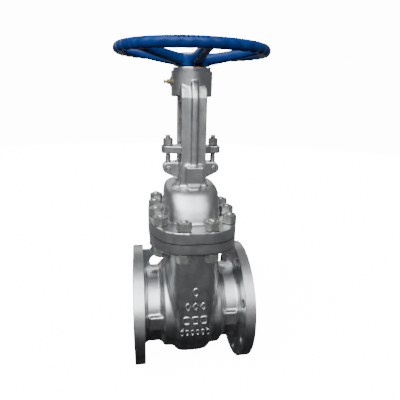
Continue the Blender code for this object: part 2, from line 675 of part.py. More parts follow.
def make_sleeve():
    """The bronze nut that the stem's thread runs in; the wheel turns it and two faces hold it in the hub."""
    bore = STEM_R + 0.4
    low, top, seat = HUB_LOW_Z + 2.0, STEM_TOP_Z - 1.0, WHEEL_LOW_Z - GAP
    sleeve = turned([(bore, low), (SLEEVE_R, low), (SLEEVE_R, COLLAR_LOW_Z), (COLLAR_R, COLLAR_LOW_Z),
                     (COLLAR_R, COLLAR_TOP_Z), (SLEEVE_NECK_R, COLLAR_TOP_Z), (SLEEVE_NECK_R, seat),
                     (SLEEVE_WHEEL_R, seat), (SLEEVE_WHEEL_R, top), (bore, top)])
    cut(sleeve, block((SLEEVE_WHEEL_R - 3.0, -KEY_HALF - GAP, WHEEL_LOW_Z + 0.7),
                      (SLEEVE_WHEEL_R + 5.0, KEY_HALF + GAP, STEM_TOP_Z + 10.0)))
    finish(sleeve, "yoke_sleeve", bronze(), (0, 0, WHEEL_LOW_Z))


def make_retainer():
    """The threaded ring that closes the hub over the sleeve's collar, and the screw that locks it."""
    spigot, bore = RETAINER_R - 3.5, SLEEVE_NECK_R + GAP
    low, flange_low = COLLAR_TOP_Z + GAP, HUB_TOP_Z + GAP
    chamfer = 1.0
    ring = turned([(bore, low), (spigot, low), (spigot, flange_low), (RETAINER_R, flange_low),
                   (RETAINER_R, RETAINER_TOP_Z - chamfer), (RETAINER_R - chamfer, RETAINER_TOP_Z),
                   (bore, RETAINER_TOP_Z)])
    cut(ring, cylinder(SCREW_HOLE_R, SCREW_LOW_Z - 3.0, RETAINER_TOP_Z + 5.0, "Z", (SCREW_X, 0, 0), 10))
    finish(ring, "sleeve_retainer", cast_steel())
    screw = cylinder(SCREW_HOLE_R - GAP, SCREW_LOW_Z, RETAINER_TOP_Z + 2.0, "Z", (SCREW_X, 0, 0), 10)
    finish(screw, "retainer_set_screw", bolt_steel())


# A spoke's middle line: radius from the wheel's axis, with its underside and its top there
SPOKE_ROWS = ((24.0, 546.6, 567.4), (36.0, 547.5, 570.0), (80.0, 555.5, 576.0), (120.0, 564.5, 582.0),
              (150.0, 569.5, 582.5))


def spoke(angle):
    """One dished spoke, rising from the wheel's hub to its rim, drawn along +X and then turned."""
    turn = Matrix.Rotation(angle, 4, "Z")
    rings = []
    for radius, low, high in SPOKE_ROWS:
        middle, half = (low + high) / 2, (high - low) / 2
        rings.append([turn @ Vector((radius, y, middle + z))
                      for y, z in superellipse(SPOKE_HALF_WIDTH, half, 3.0, 8)])
    return loft(rings)


def make_handwheel():
    """The wheel with its keyway, its key, and the round nut that holds it down on the sleeve."""
    angles = [math.tau * i / 8 for i in range(8)]
    wheel = turned([(RIM_CENTRE_R + RIM_HALF_WIDTH * math.cos(a),
                     RIM_CENTRE_Z + RIM_HALF_HEIGHT * math.sin(a)) for a in angles], segments=48)
    chamfer = 1.5
    hub = turned([(0, WHEEL_LOW_Z), (WHEEL_HUB_R - chamfer, WHEEL_LOW_Z),
                  (WHEEL_HUB_R, WHEEL_LOW_Z + chamfer), (WHEEL_HUB_R, WHEEL_HUB_TOP_Z - chamfer),
                  (WHEEL_HUB_R - chamfer, WHEEL_HUB_TOP_Z), (0, WHEEL_HUB_TOP_Z)])
    spokes = [spoke(math.radians(FIRST_SPOKE_DEG) + math.tau * i / SPOKES) for i in range(SPOKES)]
    join(wheel, hub, *spokes)
    below, above = WHEEL_LOW_Z - 5.0, WHEEL_HUB_TOP_Z + 40.0
    bore = SLEEVE_WHEEL_R + GAP
    cut(wheel, cylinder(bore, below, above), cylinder(WHEEL_NUT_R + 2.0, WHEEL_HUB_TOP_Z, above),
        block((20.0, -KEY_HALF - GAP, below), (SLEEVE_WHEEL_R + 3.5, KEY_HALF + GAP, above)))
    finish(wheel, "handwheel", wheel_paint(), (0, 0, WHEEL_LOW_Z))
    key = block((SLEEVE_WHEEL_R - 2.7, -KEY_HALF, WHEEL_LOW_Z + 1.0),
                (SLEEVE_WHEEL_R + 3.2, KEY_HALF, WHEEL_HUB_TOP_Z - 1.0))
    finish(key, "handwheel_key", bolt_steel(), (0, 0, WHEEL_LOW_Z))
    low, high = WHEEL_HUB_TOP_Z + GAP, STEM_TOP_Z - 1.5
    nut = turned([(bore, low), (WHEEL_NUT_R, low), (WHEEL_NUT_R, high - chamfer),
                  (WHEEL_NUT_R - chamfer, high), (bore, high)])
    notches = [block((WHEEL_NUT_R - 3.5, -3.5, low + 1.5), (WHEEL_NUT_R + 8.0, 3.5, high + 5.0))
               for _ in range(4)]
    for i, notch in enumerate(notches):
        notch.data.transform(Matrix.Rotation(math.tau * i / 4 + 0.6, 4, "Z"))
    cut(nut, *notches)
    finish(nut, "handwheel_nut", bolt_steel(), (0, 0, WHEEL_LOW_Z))


def make_grease_nipple():
    """Screwed into the boss on the yoke's hub, pointing along -X: shank, hexagon's girth, neck and head."""
    shank_r, girth_r, head_r = GREASE_BORE_R - GAP, 5.8, 4.0
    profile = [(0, 41.0), (shank_r, 41.0), (shank_r, 46.8), (girth_r, 46.8), (girth_r, 51.0), (head_r, 52.4),
               (2.9, 54.4), (head_r, 56.4), (head_r, 57.4), (2.8, 59.4), (0, 59.4)]
    nipple = turned([(radius, -x) for radius, x in reversed(profile)], "X", (0, 0, GREASE_Z), 12)
    finish(nipple, "grease_nipple", brass())


def main():
    for old in list(bpy.data.objects):
        bpy.data.objects.remove(old)
    make_body()
    make_seat_rings()
    make_wedge()
    make_stem()
    make_bonnet_yoke()
    make_bonnet_gasket()
    make_bonnet_studs()
    make_packing()
    make_gland()
    make_eyebolts()
    make_sleeve()
    make_retainer()
    make_handwheel()
    make_grease_nipple()


main()
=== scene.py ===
"""Looks of the flanged gate valve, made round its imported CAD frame.

The shapes are drawn in millimetres, in the frame's own axes, and MM turns them into Blender's metres.
"""

import json
import math

import bmesh
import bpy
import numpy as np
from mathutils import Matrix, Vector


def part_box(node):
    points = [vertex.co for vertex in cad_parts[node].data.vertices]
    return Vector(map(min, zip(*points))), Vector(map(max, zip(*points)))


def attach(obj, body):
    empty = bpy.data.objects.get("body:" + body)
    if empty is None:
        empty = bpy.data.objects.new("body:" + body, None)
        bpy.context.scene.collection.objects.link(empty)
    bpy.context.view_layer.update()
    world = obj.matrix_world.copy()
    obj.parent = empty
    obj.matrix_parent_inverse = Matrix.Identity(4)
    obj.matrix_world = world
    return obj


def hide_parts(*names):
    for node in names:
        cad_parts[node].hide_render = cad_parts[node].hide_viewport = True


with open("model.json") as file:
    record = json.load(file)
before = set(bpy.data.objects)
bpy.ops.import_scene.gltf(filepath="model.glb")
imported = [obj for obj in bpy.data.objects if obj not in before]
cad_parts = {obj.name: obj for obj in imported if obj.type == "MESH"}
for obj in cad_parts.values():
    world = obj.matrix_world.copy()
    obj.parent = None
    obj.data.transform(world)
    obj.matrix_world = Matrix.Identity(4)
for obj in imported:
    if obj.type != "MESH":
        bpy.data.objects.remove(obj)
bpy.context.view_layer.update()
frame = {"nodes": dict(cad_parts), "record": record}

MM = 0.001
GAP = 0.3                       # left between pieces that touch
OWNER = {node: body for body, nodes in frame["record"]["behaviour"]["bodies"].items() for node in nodes}


def box_of(node):
    """A CAD node's lowest and highest corners, in millimetres."""
    low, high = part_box(node)
    return low / MM, high / MM


def middle_of(node):
    low, high = box_of(node)
    return (low + high) / 2


# Sizes read from the frame
BODY_LOW, BODY_HIGH = box_of("body")
FACE_X = BODY_HIGH.x
FLANGE_R = -BODY_LOW.z
JOINT_HALF_Y = BODY_HIGH.y
BODY_TOP_Z = BODY_HIGH.z
BONNET_LOW_Z = box_of("bonnet_yoke")[0].z
HUB_TOP_Z = box_of("bonnet_yoke")[1].z
STEM_TOP_Z = box_of("stem")[1].z
BONNET_FLANGE_TOP_Z = box_of("bonnet_nut_01")[0].z - GAP
NUT_HEIGHT = box_of("bonnet_nut_01")[1].z - box_of("bonnet_nut_01")[0].z
STUD_LOW_Z = box_of("bonnet_stud_01")[0].z
STUD_TOP_Z = box_of("bonnet_stud_01")[1].z
WHEEL_R = (box_of("handwheel")[1].x - box_of("handwheel")[0].x) / 2
WHEEL_LOW_Z = box_of("handwheel")[0].z
PIN_X = middle_of("eyebolt_pin_right").x
PIN_Z = middle_of("eyebolt_pin_right").z
GREASE_Z = middle_of("grease_nipple").z

# Body casting
RAISED_FACE = 1.6
RAISED_FACE_R = 107.95
FLANGE_FILLET = 9.0
FLANGE_BACK_X = FACE_X - 25.4
BORE_R = 76.2
BOLT_CIRCLE_R = 120.65
BOLT_HOLE_R = 11.1
BOLT_HOLES = 8
BARREL_R = 90.0
CHAMBER_R = 118.0
CHAMBER_WALL = 12.0
CHAMBER_HALF_X = 58.0
WAIST_HALF_X = 49.0
NECK_INSET_Y = 6.0
SEAT_BULGE_R = 103.0
SEAT_BULGE_X = 64.0
WEB_HALF_Y = 3.5
WEB_TOP_Z = 139.0
WEB_HOLE = (77.0, 108.5, 16.5)  # across, height and radius
PAD_X = 83.0
PAD_HALF = 16.8
PAD_FACE_Y = -97.0
JOINT_HALF_X = 95.0
JOINT_POWER = 3.0
BODY_JOINT_LOW_Z = 183.0
STUD_HOLE_R = 9.0
STUD_R = 7.9
NUT_ACROSS = 27.0
NUT_TURN = 17.0
SPOT_FACE_R = 16.8

# Seats and wedge
WEDGE_TAPER = math.tan(math.radians(5.0))
WEDGE_HALF_X = 26.0
WEDGE_R = 84.0
SEAT_OUT_R = 86.0
SEAT_BACK_X = 45.7
SEAT_BOSS_R = 98.0
GUIDE_HALF_X = 6.0
GUIDE_IN_Y = 88.0
GUIDE_OUT_Y = 110.0
GUIDE_LOW_Z = -21.0
SLOT_TOP_Z = 110.0
HEAD_LOW_Z = 88.0
HEAD_TOP_Z = 100.0
SHOULDER_TOP_Z = 114.7

# Bonnet and yoke casting
DOME_HALF_X = 60.0
DOME_HALF_Y = 103.0
DOME_WALL = 11.0
DOME_POWER = 3.2
DOME_TOP_Z = 291.0
# The dome's leaning ends, rounded shoulder and crown, each level a height and how far it draws in there
# along the pipe and from front to back
DOME_ROWS = ((258.0, 0.0, 7.0), (272.0, 0.6, 13.0), (281.0, 1.4, 18.5), (288.0, 2.6, 24.0),
             (293.0, 4.5, 30.0), (297.0, 8.0, 37.0), (300.5, 14.0, 46.0), (302.5, 22.0, 58.0))
# The same for the chamber inside it
CHAMBER_ROWS = ((247.0, 11.0, 18.0), (262.0, 11.8, 24.5), (270.0, 14.0, 30.0), (275.5, 18.5, 36.5),
                (278.8, 24.5, 44.0), (280.0, 32.0, 53.0))
# The swelling at each arm's root on the dome, each level a height, a half width and how far out it reaches
ROOT_ROWS = ((293.0, 33.0, 60.0), (299.0, 31.0, 57.0), (304.0, 28.5, 54.0), (308.0, 27.0, 51.5))
CHAMBER_ROOF_Z = DOME_TOP_Z - DOME_WALL
STUFFING_R = 33.0
STUFFING_TOP_Z = 348.0
PACKING_R = 22.4
EAR_R = 12.7
EAR_IN_Y = 7.5
EAR_OUT_Y = 16.0
PIN_R = 5.2
ARM_HALF_X = 26.0
ARM_IN_Y = 41.0
ARM_OUT_Y = 51.0
RIB_HALF_X = 5.4
RIB_OUT_Y = 62.0
FOOT_HALF_X = 16.5
FOOT_IN_Y = 24.0
FOOT_OUT_Y = 77.0
FOOT_LOW_Z = 313.0
FOOT_TOP_Z = 346.0
# The (y, z) outlines of the arm's and the rib's slanted tops, where they run into the hub
ARM_TIP = ((24.0, 484.0), (51.0, 470.0), (51.0, 477.0), (50.2, 484.0), (47.5, 494.0), (43.0, 502.0),
           (37.0, 508.0), (24.0, 508.0))
RIB_TIP = ((24.0, 484.0), (62.0, 466.0), (62.0, 475.0), (61.0, 486.0), (57.5, 498.0), (51.5, 509.0),
           (43.0, 518.0), (24.0, 518.0))
HUB_R = 43.4
HUB_LOW_Z = 485.0
GREASE_HOLE_R = 4.2
LOCK_HOLE_R = 2.4
RISER_STUBS_X = (-12.0, -0.5, 9.0)

# Stem, sleeve and handwheel
STEM_R = 14.0
THREAD_PITCH = 6.0
THREAD_LOW_Z = 387.0
SLEEVE_R = 23.0
SLEEVE_NECK_R = 26.7
SLEEVE_WHEEL_R = 22.0
COLLAR_R = 33.0
COLLAR_LOW_Z = 520.3
COLLAR_TOP_Z = 530.5
RETAINER_R = 39.5
RETAINER_TOP_Z = 543.2
SCREW_X = 38.0
WHEEL_HUB_TOP_Z = 564.0
WHEEL_HUB_R = 36.5
RIM_HALF_WIDTH = 9.35
RIM_HALF_HEIGHT = 10.4
RIM_CENTRE_R = WHEEL_R - RIM_HALF_WIDTH
RIM_CENTRE_Z = 575.7
SPOKES = 6
FIRST_SPOKE = math.radians(-85.0)
FINGER_DENTS = 36
KEY_HALF = 4.0

# Gland
EYEBOLT_R = 5.8
EYE_R = 11.3
EYE_HALF_Y = 6.6
GLAND_NUT_ACROSS = 19.0
GLAND_NUT_TURNS = {"left": 0.0, "right": 30.0}


# ---- meshes ----

def linked(name, data):
    """A new object in the scene, round some data."""
    made = bpy.data.objects.new(name, data)
    bpy.context.scene.collection.objects.link(made)
    return made


def solid(shape):
    """Turn a bmesh given in millimetres into an object, its faces pointing out."""
    bmesh.ops.remove_doubles(shape, verts=shape.verts, dist=0.001)
    bmesh.ops.recalc_face_normals(shape, faces=shape.faces)
    bmesh.ops.scale(shape, vec=(MM, MM, MM), verts=shape.verts)
    mesh = bpy.data.meshes.new("shape")
    shape.to_mesh(mesh)
    shape.free()
    return linked("shape", mesh)


def loft(rings):
    """Skin a stack of outlines that all have the same number of points, and cap both ends."""
    shape = bmesh.new()
    rows = [[shape.verts.new(point) for point in ring] for ring in rings]
    count = len(rows[0])
    for low, high in zip(rows, rows[1:]):
        for i in range(count):
            j = (i + 1) % count
            shape.faces.new((low[i], low[j], high[j], high[i]))
    shape.faces.new(rows[0])
    shape.faces.new(rows[-1])
    return solid(shape)


def at_angle(radius, angle):
    return radius * math.cos(angle), radius * math.sin(angle)


def turn_to(axis):
    """The rotation that takes +Z to the named axis."""
    quarter = math.pi / 2
    turns = {"Z": Matrix(), "X": Matrix.Rotation(quarter, 4, "Y"), "Y": Matrix.Rotation(-quarter, 4, "X")}
    return turns[axis]


def turned(profile, axis="Z", centre=(0, 0, 0), segments=64):
    """Spin a closed (radius, height) profile about an axis through centre; a radius of 0 makes a pole."""
    shape = bmesh.new()
    place = Matrix.Translation(centre) @ turn_to(axis)
    columns = []
    for radius, height in profile:
        if radius == 0:
            columns.append([shape.verts.new(place @ Vector((0, 0, height)))] * segments)
        else:
            ring = [Vector((*at_angle(radius, math.tau * i / segments), height)) for i in range(segments)]
            columns.append([shape.verts.new(place @ point) for point in ring])
    for low, high in zip(columns, columns[1:] + columns[:1]):
        for i in range(segments):
            j = (i + 1) % segments
            corners = list(dict.fromkeys((low[i], low[j], high[j], high[i])))
            if len(corners) > 2:
                shape.faces.new(corners)
    return solid(shape)


def rounded(outline, radius, steps=4):
    """A closed outline with its corners rounded, apart from those on the axis, at a first number of 0."""
    points = []
    for i, corner in enumerate(outline):
        here = Vector(corner)
        back = Vector(outline[i - 1]) - here
        on = Vector(outline[(i + 1) % len(outline)]) - here
        if here.x == 0 or abs(back.normalized().dot(on.normalized())) > 0.99:
            points.append(tuple(here))
            continue
        reach = min(radius, 0.45 * back.length, 0.45 * on.length)
        start, end = here + back.normalized() * reach, here + on.normalized() * reach
        for step in range(steps + 1):
            t = step / steps
            points.append(tuple(start * (1 - t) ** 2 + here * 2 * t * (1 - t) + end * t ** 2))
    return points


def cylinder(radius, low, high, axis="Z", centre=(0, 0, 0), segments=48):
    return turned([(0, low), (radius, low), (radius, high), (0, high)], axis, centre, segments)


def mirrored(half):
    """A (radius, height) profile that starts on the axis, joined to its mirror image in height 0."""
    return [(radius, -height) for radius, height in half] + list(reversed(half))


def chamfered_hole(radius, low, high, chamfer, axis="Z", centre=(0, 0, 0), segments=48):
    """A cutter for a hole whose faces are at low and high, with a chamfer at both."""
    past = 2.0
    profile = [(0, low - past), (radius + chamfer + past, low - past), (radius, low + chamfer),
               (radius, high - chamfer), (radius + chamfer + past, high + past), (0, high + past)]
    return turned(profile, axis, centre, segments)


def prism(outline, low, high, axis="Z"):
    """Push an outline along an axis; its points are (x, y) for Z, (y, z) for X and (x, z) for Y."""
    order = {"Z": (0, 1, 2), "X": (2, 0, 1), "Y": (0, 2, 1)}[axis]
    return loft([[tuple((a, b, h)[i] for i in order) for a, b in outline] for h in (low, high)])


def block(low, high):
    """A block between any two opposite corners."""
    (x0, x1), (y0, y1), (z0, z1) = (sorted(pair) for pair in zip(low, high))
    return prism([(x0, y0), (x1, y0), (x1, y1), (x0, y1)], z0, z1)


def superellipse(half_x, half_y, power, count=96):
    """Points of |x/half_x|^power + |y/half_y|^power = 1."""
    points = []
    for i in range(count):
        across, along = at_angle(1.0, math.tau * (i + 0.5) / count)
        points.append((half_x * math.copysign(abs(across) ** (2 / power), across),
                       half_y * math.copysign(abs(along) ** (2 / power), along)))
    return points


def hexagon(across):
    return [at_angle(across / math.sqrt(3), math.pi * i / 3) for i in range(6)]


def smooth_step(value, start, end):
    share = min(1.0, max(0.0, (value - start) / (end - start)))
    return share * share * (3.0 - 2.0 * share)


def flowing(rows, steps=5):
    """Rows of numbers with more rows between them, on a smooth curve through all of them."""
    rows = [np.array(row, float) for row in rows]
    ends = [2 * rows[0] - rows[1], *rows, 2 * rows[-1] - rows[-2]]
    made = []
    for a, b, c, d in zip(ends, ends[1:], ends[2:], ends[3:]):
        for step in range(steps):
            t = step / steps
            made.append(0.5 * (2 * b + (c - a) * t + (2 * a - 5 * b + 4 * c - d) * t ** 2
                               + (3 * b - a - 3 * c + d) * t ** 3))
    return [*made, rows[-1]]


def settle(made):
    """Replace an object's mesh with what its modifiers make of it."""
    bpy.context.view_layer.update()
    seen = made.evaluated_get(bpy.context.evaluated_depsgraph_get())
    made.data = bpy.data.meshes.new_from_object(seen)
    made.modifiers.clear()
    return made


def gather(parts):
    """Put the meshes of several solids into the first one's object, without merging them."""
    shape = bmesh.new()
    for part in parts:
        part.data.transform(part.matrix_world)
        part.matrix_world = Matrix()
        shape.from_mesh(part.data)
    shape.to_mesh(parts[0].data)
    shape.free()
    for part in parts[1:]:
        bpy.data.objects.remove(part)
    return parts[0]


def combine(target, others, operation):
    for other in others:
        change = target.modifiers.new(operation, "BOOLEAN")
        change.operation = operation
        change.solver = "MANIFOLD"
        change.object = other
        settle(target)
        bpy.data.objects.remove(other)
    return target


def cut(target, *others):
    return combine(target, others, "DIFFERENCE")


def join(target, *others):
    return combine(target, others, "UNION")


def keep(target, *others):
    return combine(target, others, "INTERSECT")


def cast(parts, grain, fillet_steps, edge_steps, share):
    """One skin over overlapping solids, with a casting's radius in every corner and on every edge.

    grain is the skin's spacing. The fillet steps only fill hollow corners, and the edge steps ease
    everything.
    share is how much of the skin's faces a last thinning keeps, the flat ones going first.
    """
    made = gather(parts)
    skin = made.modifiers.new("skin", "REMESH")
    skin.mode = "VOXEL"
    skin.voxel_size = grain * MM
    settle(made)
    ease(made.data, fillet_steps, edge_steps)
    thin = made.modifiers.new("thin", "DECIMATE")
    thin.ratio = share
    return settle(made)


def ease(mesh, fillet_steps, edge_steps):
    """Pull each point towards its neighbours' middle, but only outward while the fillet steps last."""
    points = np.empty(len(mesh.vertices) * 3)
    mesh.vertices.foreach_get("co", points)
    points = points.reshape(-1, 3)
    ends = np.empty(len(mesh.edges) * 2, int)
    mesh.edges.foreach_get("vertices", ends)
    first, second = ends.reshape(-1, 2).T
    neighbours = np.bincount(ends, minlength=len(points))[:, None]
    normals = np.empty(len(points) * 3)
    for step in range(fillet_steps + edge_steps):
        sums = np.stack([np.bincount(first, points[second, k], len(points))
                         + np.bincount(second, points[first, k], len(points)) for k in range(3)], axis=1)
        pull = sums / neighbours - points
        if step < fillet_steps:
            mesh.vertices.foreach_get("normal", normals)
            out = normals.reshape(-1, 3)
            pull = out * np.clip((pull * out).sum(axis=1), 0.0, None)[:, None]
        points += 0.5 * pull
        mesh.vertices.foreach_set("co", points.ravel())
        mesh.update()


def threaded(radius, pitch, depth, low, high, crest=0.14, flank=0.31, segments=40, left_hand=False):
    """A screw thread that runs past low and high by a pitch or more, to a point on the axis at each end.

    crest and flank are shares of the pitch, and the root takes what is left.
    """
    root = radius - depth
    corners = ((0.0, radius), (crest, radius), (crest + flank, root), (1.0 - flank, root))
    turns = math.ceil((high - low) / pitch) + 3
    shape = bmesh.new()
    rows = []
    for turn in range(turns):
        for share, reach in corners:
            steps = [i / segments for i in range(segments)]
            rows.append([shape.verts.new((*at_angle(reach, math.tau * step),
                                          low + pitch * (turn - 2 + share + step))) for step in steps])
    for k in range(len(rows) - 1):
        for i in range(segments - 1):
            shape.faces.new((rows[k][i], rows[k][i + 1], rows[k + 1][i + 1], rows[k + 1][i]))
        if k + len(corners) + 1 < len(rows):
            over = k + len(corners)
            shape.faces.new((rows[k][-1], rows[over][0], rows[over + 1][0], rows[k + 1][-1]))
    apexes = [shape.verts.new((0, 0, low - 3 * pitch)), shape.verts.new((0, 0, high + 3 * pitch))]
    middle = (low + high) / 2
    for edge in [edge for edge in shape.edges if edge.is_boundary]:
        apex = apexes[edge.verts[0].co.z > middle]
        shape.faces.new((*edge.verts, apex))
    if left_hand:
        bmesh.ops.scale(shape, vec=(1, -1, 1), verts=shape.verts)
    return solid(shape)


# ---- materials ----

def feed(node, inputs):
    """Set a node's inputs to values, or link them to other nodes' outputs."""
    for name, value in inputs.items():
        if isinstance(value, bpy.types.NodeSocket):
            node.id_data.links.new(value, node.inputs[name])
        else:
            node.inputs[name].default_value = value
    return node


def set_stops(node, stops):
    """Give a colour ramp its stops, each a (position, colour)."""
    for i, (position, colour) in enumerate(stops):
        stop = node.color_ramp.elements[i] if i < 2 else node.color_ramp.elements.new(position)
        stop.position = position
        stop.color = (*colour, 1.0)


class Look:
    """A node material: its Principled shader, with helpers that add the patterns which feed it."""

    def __init__(self, name, roughness, metallic):
        self.material = bpy.data.materials.new(name)
        self.material.use_nodes = True
        self.nodes = self.material.node_tree.nodes
        self.shader = self.nodes["Principled BSDF"]
        self.shader.inputs["Roughness"].default_value = roughness
        self.shader.inputs["Metallic"].default_value = metallic
        self.place = self.nodes.new("ShaderNodeTexCoord").outputs["Object"]
        self.normal = None

    def noise(self, scale, detail=3.0, rough=0.55):
        """Noise whose spots are about 1/scale metres across."""
        inputs = {"Scale": scale, "Detail": detail, "Roughness": rough, "Vector": self.place}
        return feed(self.nodes.new("ShaderNodeTexNoise"), inputs).outputs["Fac"]

    def spots(self, scale):
        """Distance to scattered points, about 1/scale metres apart."""
        inputs = {"Scale": scale, "Vector": self.place}
        return feed(self.nodes.new("ShaderNodeTexVoronoi"), inputs).outputs["Distance"]

    def rings(self, scale, axis):
        """Turning marks about an axis."""
        node = self.nodes.new("ShaderNodeTexWave")
        node.wave_type = "RINGS"
        node.rings_direction = axis
        inputs = {"Scale": scale, "Distortion": 0.6, "Detail": 2.0, "Vector": self.place}
        return feed(node, inputs).outputs["Fac"]

    def ramp(self, value, stops):
        """Colours along a value, each stop a (position, colour)."""
        node = feed(self.nodes.new("ShaderNodeValToRGB"), {"Fac": value})
        set_stops(node, stops)
        return node.outputs["Color"]

    def times(self, first, second):
        """Two colours multiplied."""
        node = self.nodes.new("ShaderNodeMix")
        node.data_type = "RGBA"
        node.blend_type = "MULTIPLY"
        return feed(node, {0: 1.0, 6: first, 7: second}).outputs[2]

    def spread(self, value, low, high):
        """A 0 to 1 pattern turned into a range of numbers."""
        inputs = {"From Min": 0.25, "From Max": 0.75, "To Min": low, "To Max": high, "Value": value}
        return feed(self.nodes.new("ShaderNodeMapRange"), inputs).outputs["Result"]

    def relief(self, value, height, strength):
        """Raise the surface by a pattern, height in metres, over the reliefs added before."""
        inputs = {"Distance": height, "Strength": strength, "Height": value}
        if self.normal is not None:
            inputs["Normal"] = self.normal
        self.normal = feed(self.nodes.new("ShaderNodeBump"), inputs).outputs["Normal"]

    def done(self, colour, roughness=None):
        """The finished material, fed by a colour pattern and perhaps a roughness pattern."""
        inputs = {"Base Color": colour}
        if roughness is not None:
            inputs["Roughness"] = roughness
        if self.normal is not None:
            inputs["Normal"] = self.normal
        feed(self.shader, inputs)
        return self.material


def cast_paint():
    """Silver-grey paint over sand-cast steel."""
    look = Look("silver_paint_on_castings", 0.32, 1.0)
    tone = look.ramp(look.noise(26.0, 4.0), [(0.30, (0.40, 0.41, 0.42)), (0.70, (0.53, 0.53, 0.53))])
    specks = look.ramp(look.spots(620.0), [(0.05, (0.8, 0.8, 0.8)), (0.32, (1.0, 1.0, 1.0))])
    look.relief(look.noise(95.0, 3.0), 0.0004, 0.4)
    look.relief(look.noise(900.0, 4.0, 0.65), 0.00014, 0.45)
    return look.done(look.times(tone, specks), look.spread(look.noise(60.0), 0.29, 0.38))


def machined():
    """Bright turned or milled steel."""
    look = Look("machined_steel_faces", 0.3, 1.0)
    tone = look.ramp(look.noise(40.0, 4.0), [(0.3, (0.46, 0.46, 0.46)), (0.7, (0.60, 0.60, 0.59))])
    look.relief(look.rings(420.0, "X"), 0.00005, 0.6)
    look.relief(look.noise(1400.0, 2.0), 0.00002, 0.5)
    return look.done(tone, look.spread(look.noise(120.0), 0.24, 0.38))


def bolting():
    """Oiled bolt steel, slightly green."""
    look = Look("bolt_steel_oiled", 0.36, 0.95)
    tone = look.ramp(look.noise(120.0, 4.0), [(0.3, (0.33, 0.345, 0.325)), (0.7, (0.46, 0.47, 0.44))])
    look.relief(look.noise(700.0, 3.0), 0.00005, 0.35)
    return look.done(tone, look.spread(look.noise(200.0), 0.30, 0.42))


def blue_paint():
    """Thick glossy blue paint on a rough casting."""
    look = Look("blue_wheel_paint", 0.3, 0.0)
    look.shader.inputs["IOR"].default_value = 1.22
    tone = look.ramp(look.noise(35.0, 4.0), [(0.3, (0.001, 0.016, 0.095)), (0.7, (0.002, 0.029, 0.150))])
    look.relief(look.noise(120.0, 3.0), 0.0006, 0.4)
    look.relief(look.noise(520.0, 3.0), 0.0002, 0.4)
    return look.done(tone, look.spread(look.noise(200.0), 0.22, 0.36))


def bronze():
    look = Look("bronze_sleeve", 0.32, 1.0)
    tone = look.ramp(look.noise(90.0, 4.0), [(0.3, (0.42, 0.26, 0.11)), (0.7, (0.56, 0.37, 0.17))])
    look.relief(look.rings(500.0, "Z"), 0.00004, 0.5)
    return look.done(tone, look.spread(look.noise(160.0), 0.26, 0.42))


def brass():
    look = Look("brass_nipple", 0.28, 1.0)
    tone = look.ramp(look.noise(400.0, 3.0), [(0.3, (0.50, 0.37, 0.13)), (0.7, (0.72, 0.56, 0.24))])
    look.relief(look.noise(1500.0, 2.0), 0.00003, 0.5)
    return look.done(tone, look.spread(look.noise(500.0), 0.22, 0.4))


def graphite():
    """Braided graphite packing and the gasket."""
    look = Look("graphite_packing", 0.6, 0.2)
    tone = look.ramp(look.noise(700.0, 3.0), [(0.3, (0.03, 0.03, 0.033)), (0.7, (0.075, 0.075, 0.08))])
    look.relief(look.spots(450.0), 0.0003, 0.6)
    return look.done(tone, look.spread(look.noise(500.0), 0.5, 0.7))


LOOKS = {"cast_steel": cast_paint(), "machined_steel": machined(), "bolt_steel": bolting(),
         "wheel_paint": blue_paint(), "bronze": bronze(), "brass": brass(), "graphite": graphite()}
SHARP_ANGLE = math.radians(38)


def piece(made, name, slot, *nodes, edges=0.0):
    """Name a finished piece, give it its look, and let it stand for its CAD nodes and ride on their body.

    edges is the width of a small bevel on its sharp edges, in millimetres.
    """
    made.name = name
    made.data.name = name
    made.data.materials.clear()
    made.data.materials.append(LOOKS[slot])
    if edges:
        bevel = made.modifiers.new("edges", "BEVEL")
        bevel.width = edges * MM
        bevel.segments = 2
        bevel.limit_method = "ANGLE"
        bevel.angle_limit = math.radians(35)
        settle(made)
    made.data.shade_smooth()
    made.data.set_sharp_from_angle(angle=SHARP_ANGLE)
    evened = made.modifiers.new("evened_normals", "WEIGHTED_NORMAL")
    evened.keep_sharp = True
    settle(made)
    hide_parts(*nodes)
    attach(made, OWNER[nodes[0]])
    return made


def copy_of(made, name, place, turn, node):
    """Another object with the same mesh, at a place in millimetres and turned about Z."""
    twin = linked(name, made.data)
    twin.matrix_world = Matrix.Translation(Vector(place) * MM) @ Matrix.Rotation(turn, 4, "Z")
    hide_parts(node)
    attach(twin, OWNER[node])
    return twin


def paint_faces(made, slot, wanted):
    """Give the faces that wanted(centre, normal) picks, in millimetres, a second look."""
    made.data.materials.append(LOOKS[slot])
    index = len(made.data.materials) - 1
    for face in made.data.polygons:
        if wanted(face.center / MM, face.normal):
            face.material_index = index


# ---- body casting ----

def chamber_ring(z, radius, wall):
    """The wedge chamber's outline at height z, or its inside's, which is wall thinner across the pipe."""
    half_x = WAIST_HALF_X + (CHAMBER_HALF_X - WAIST_HALF_X) * smooth_step(z, -20.0, 80.0)
    if z < -20.0:
        half_x *= 1.0 - 0.35 * ((-z - 20.0) / (CHAMBER_R - 20.0)) ** 4
    half_y = radius - (NECK_INSET_Y * smooth_step(z, 140.0, 160.0) if wall else 0.0)
    if z < 0.0:
        half_y = math.sqrt(radius ** 2 - z ** 2)
    return [(x, y, z) for x, y in superellipse(half_x - wall, half_y, 4.0)]


def chamber(radius, wall, top):
    """The wedge chamber, closed at the bottom by rings that shrink round the pipe's axis."""
    curved = [-radius * math.cos(math.pi / 2 * (i + 0.6) / 18) for i in range(18)]
    straight = [top * i / 20 for i in range(21)]
    return loft([chamber_ring(z, radius, wall) for z in curved + straight])


def wedge_space(half_x):
    """The tapered slab between the seats, half_x from its middle on the pipe's axis."""
    reach = 150.0
    outline = [(side * (half_x + WEDGE_TAPER * z), z)
               for side, z in ((-1, -reach), (1, -reach), (1, reach), (-1, reach))]
    return prism(outline, -reach, reach, "Y")


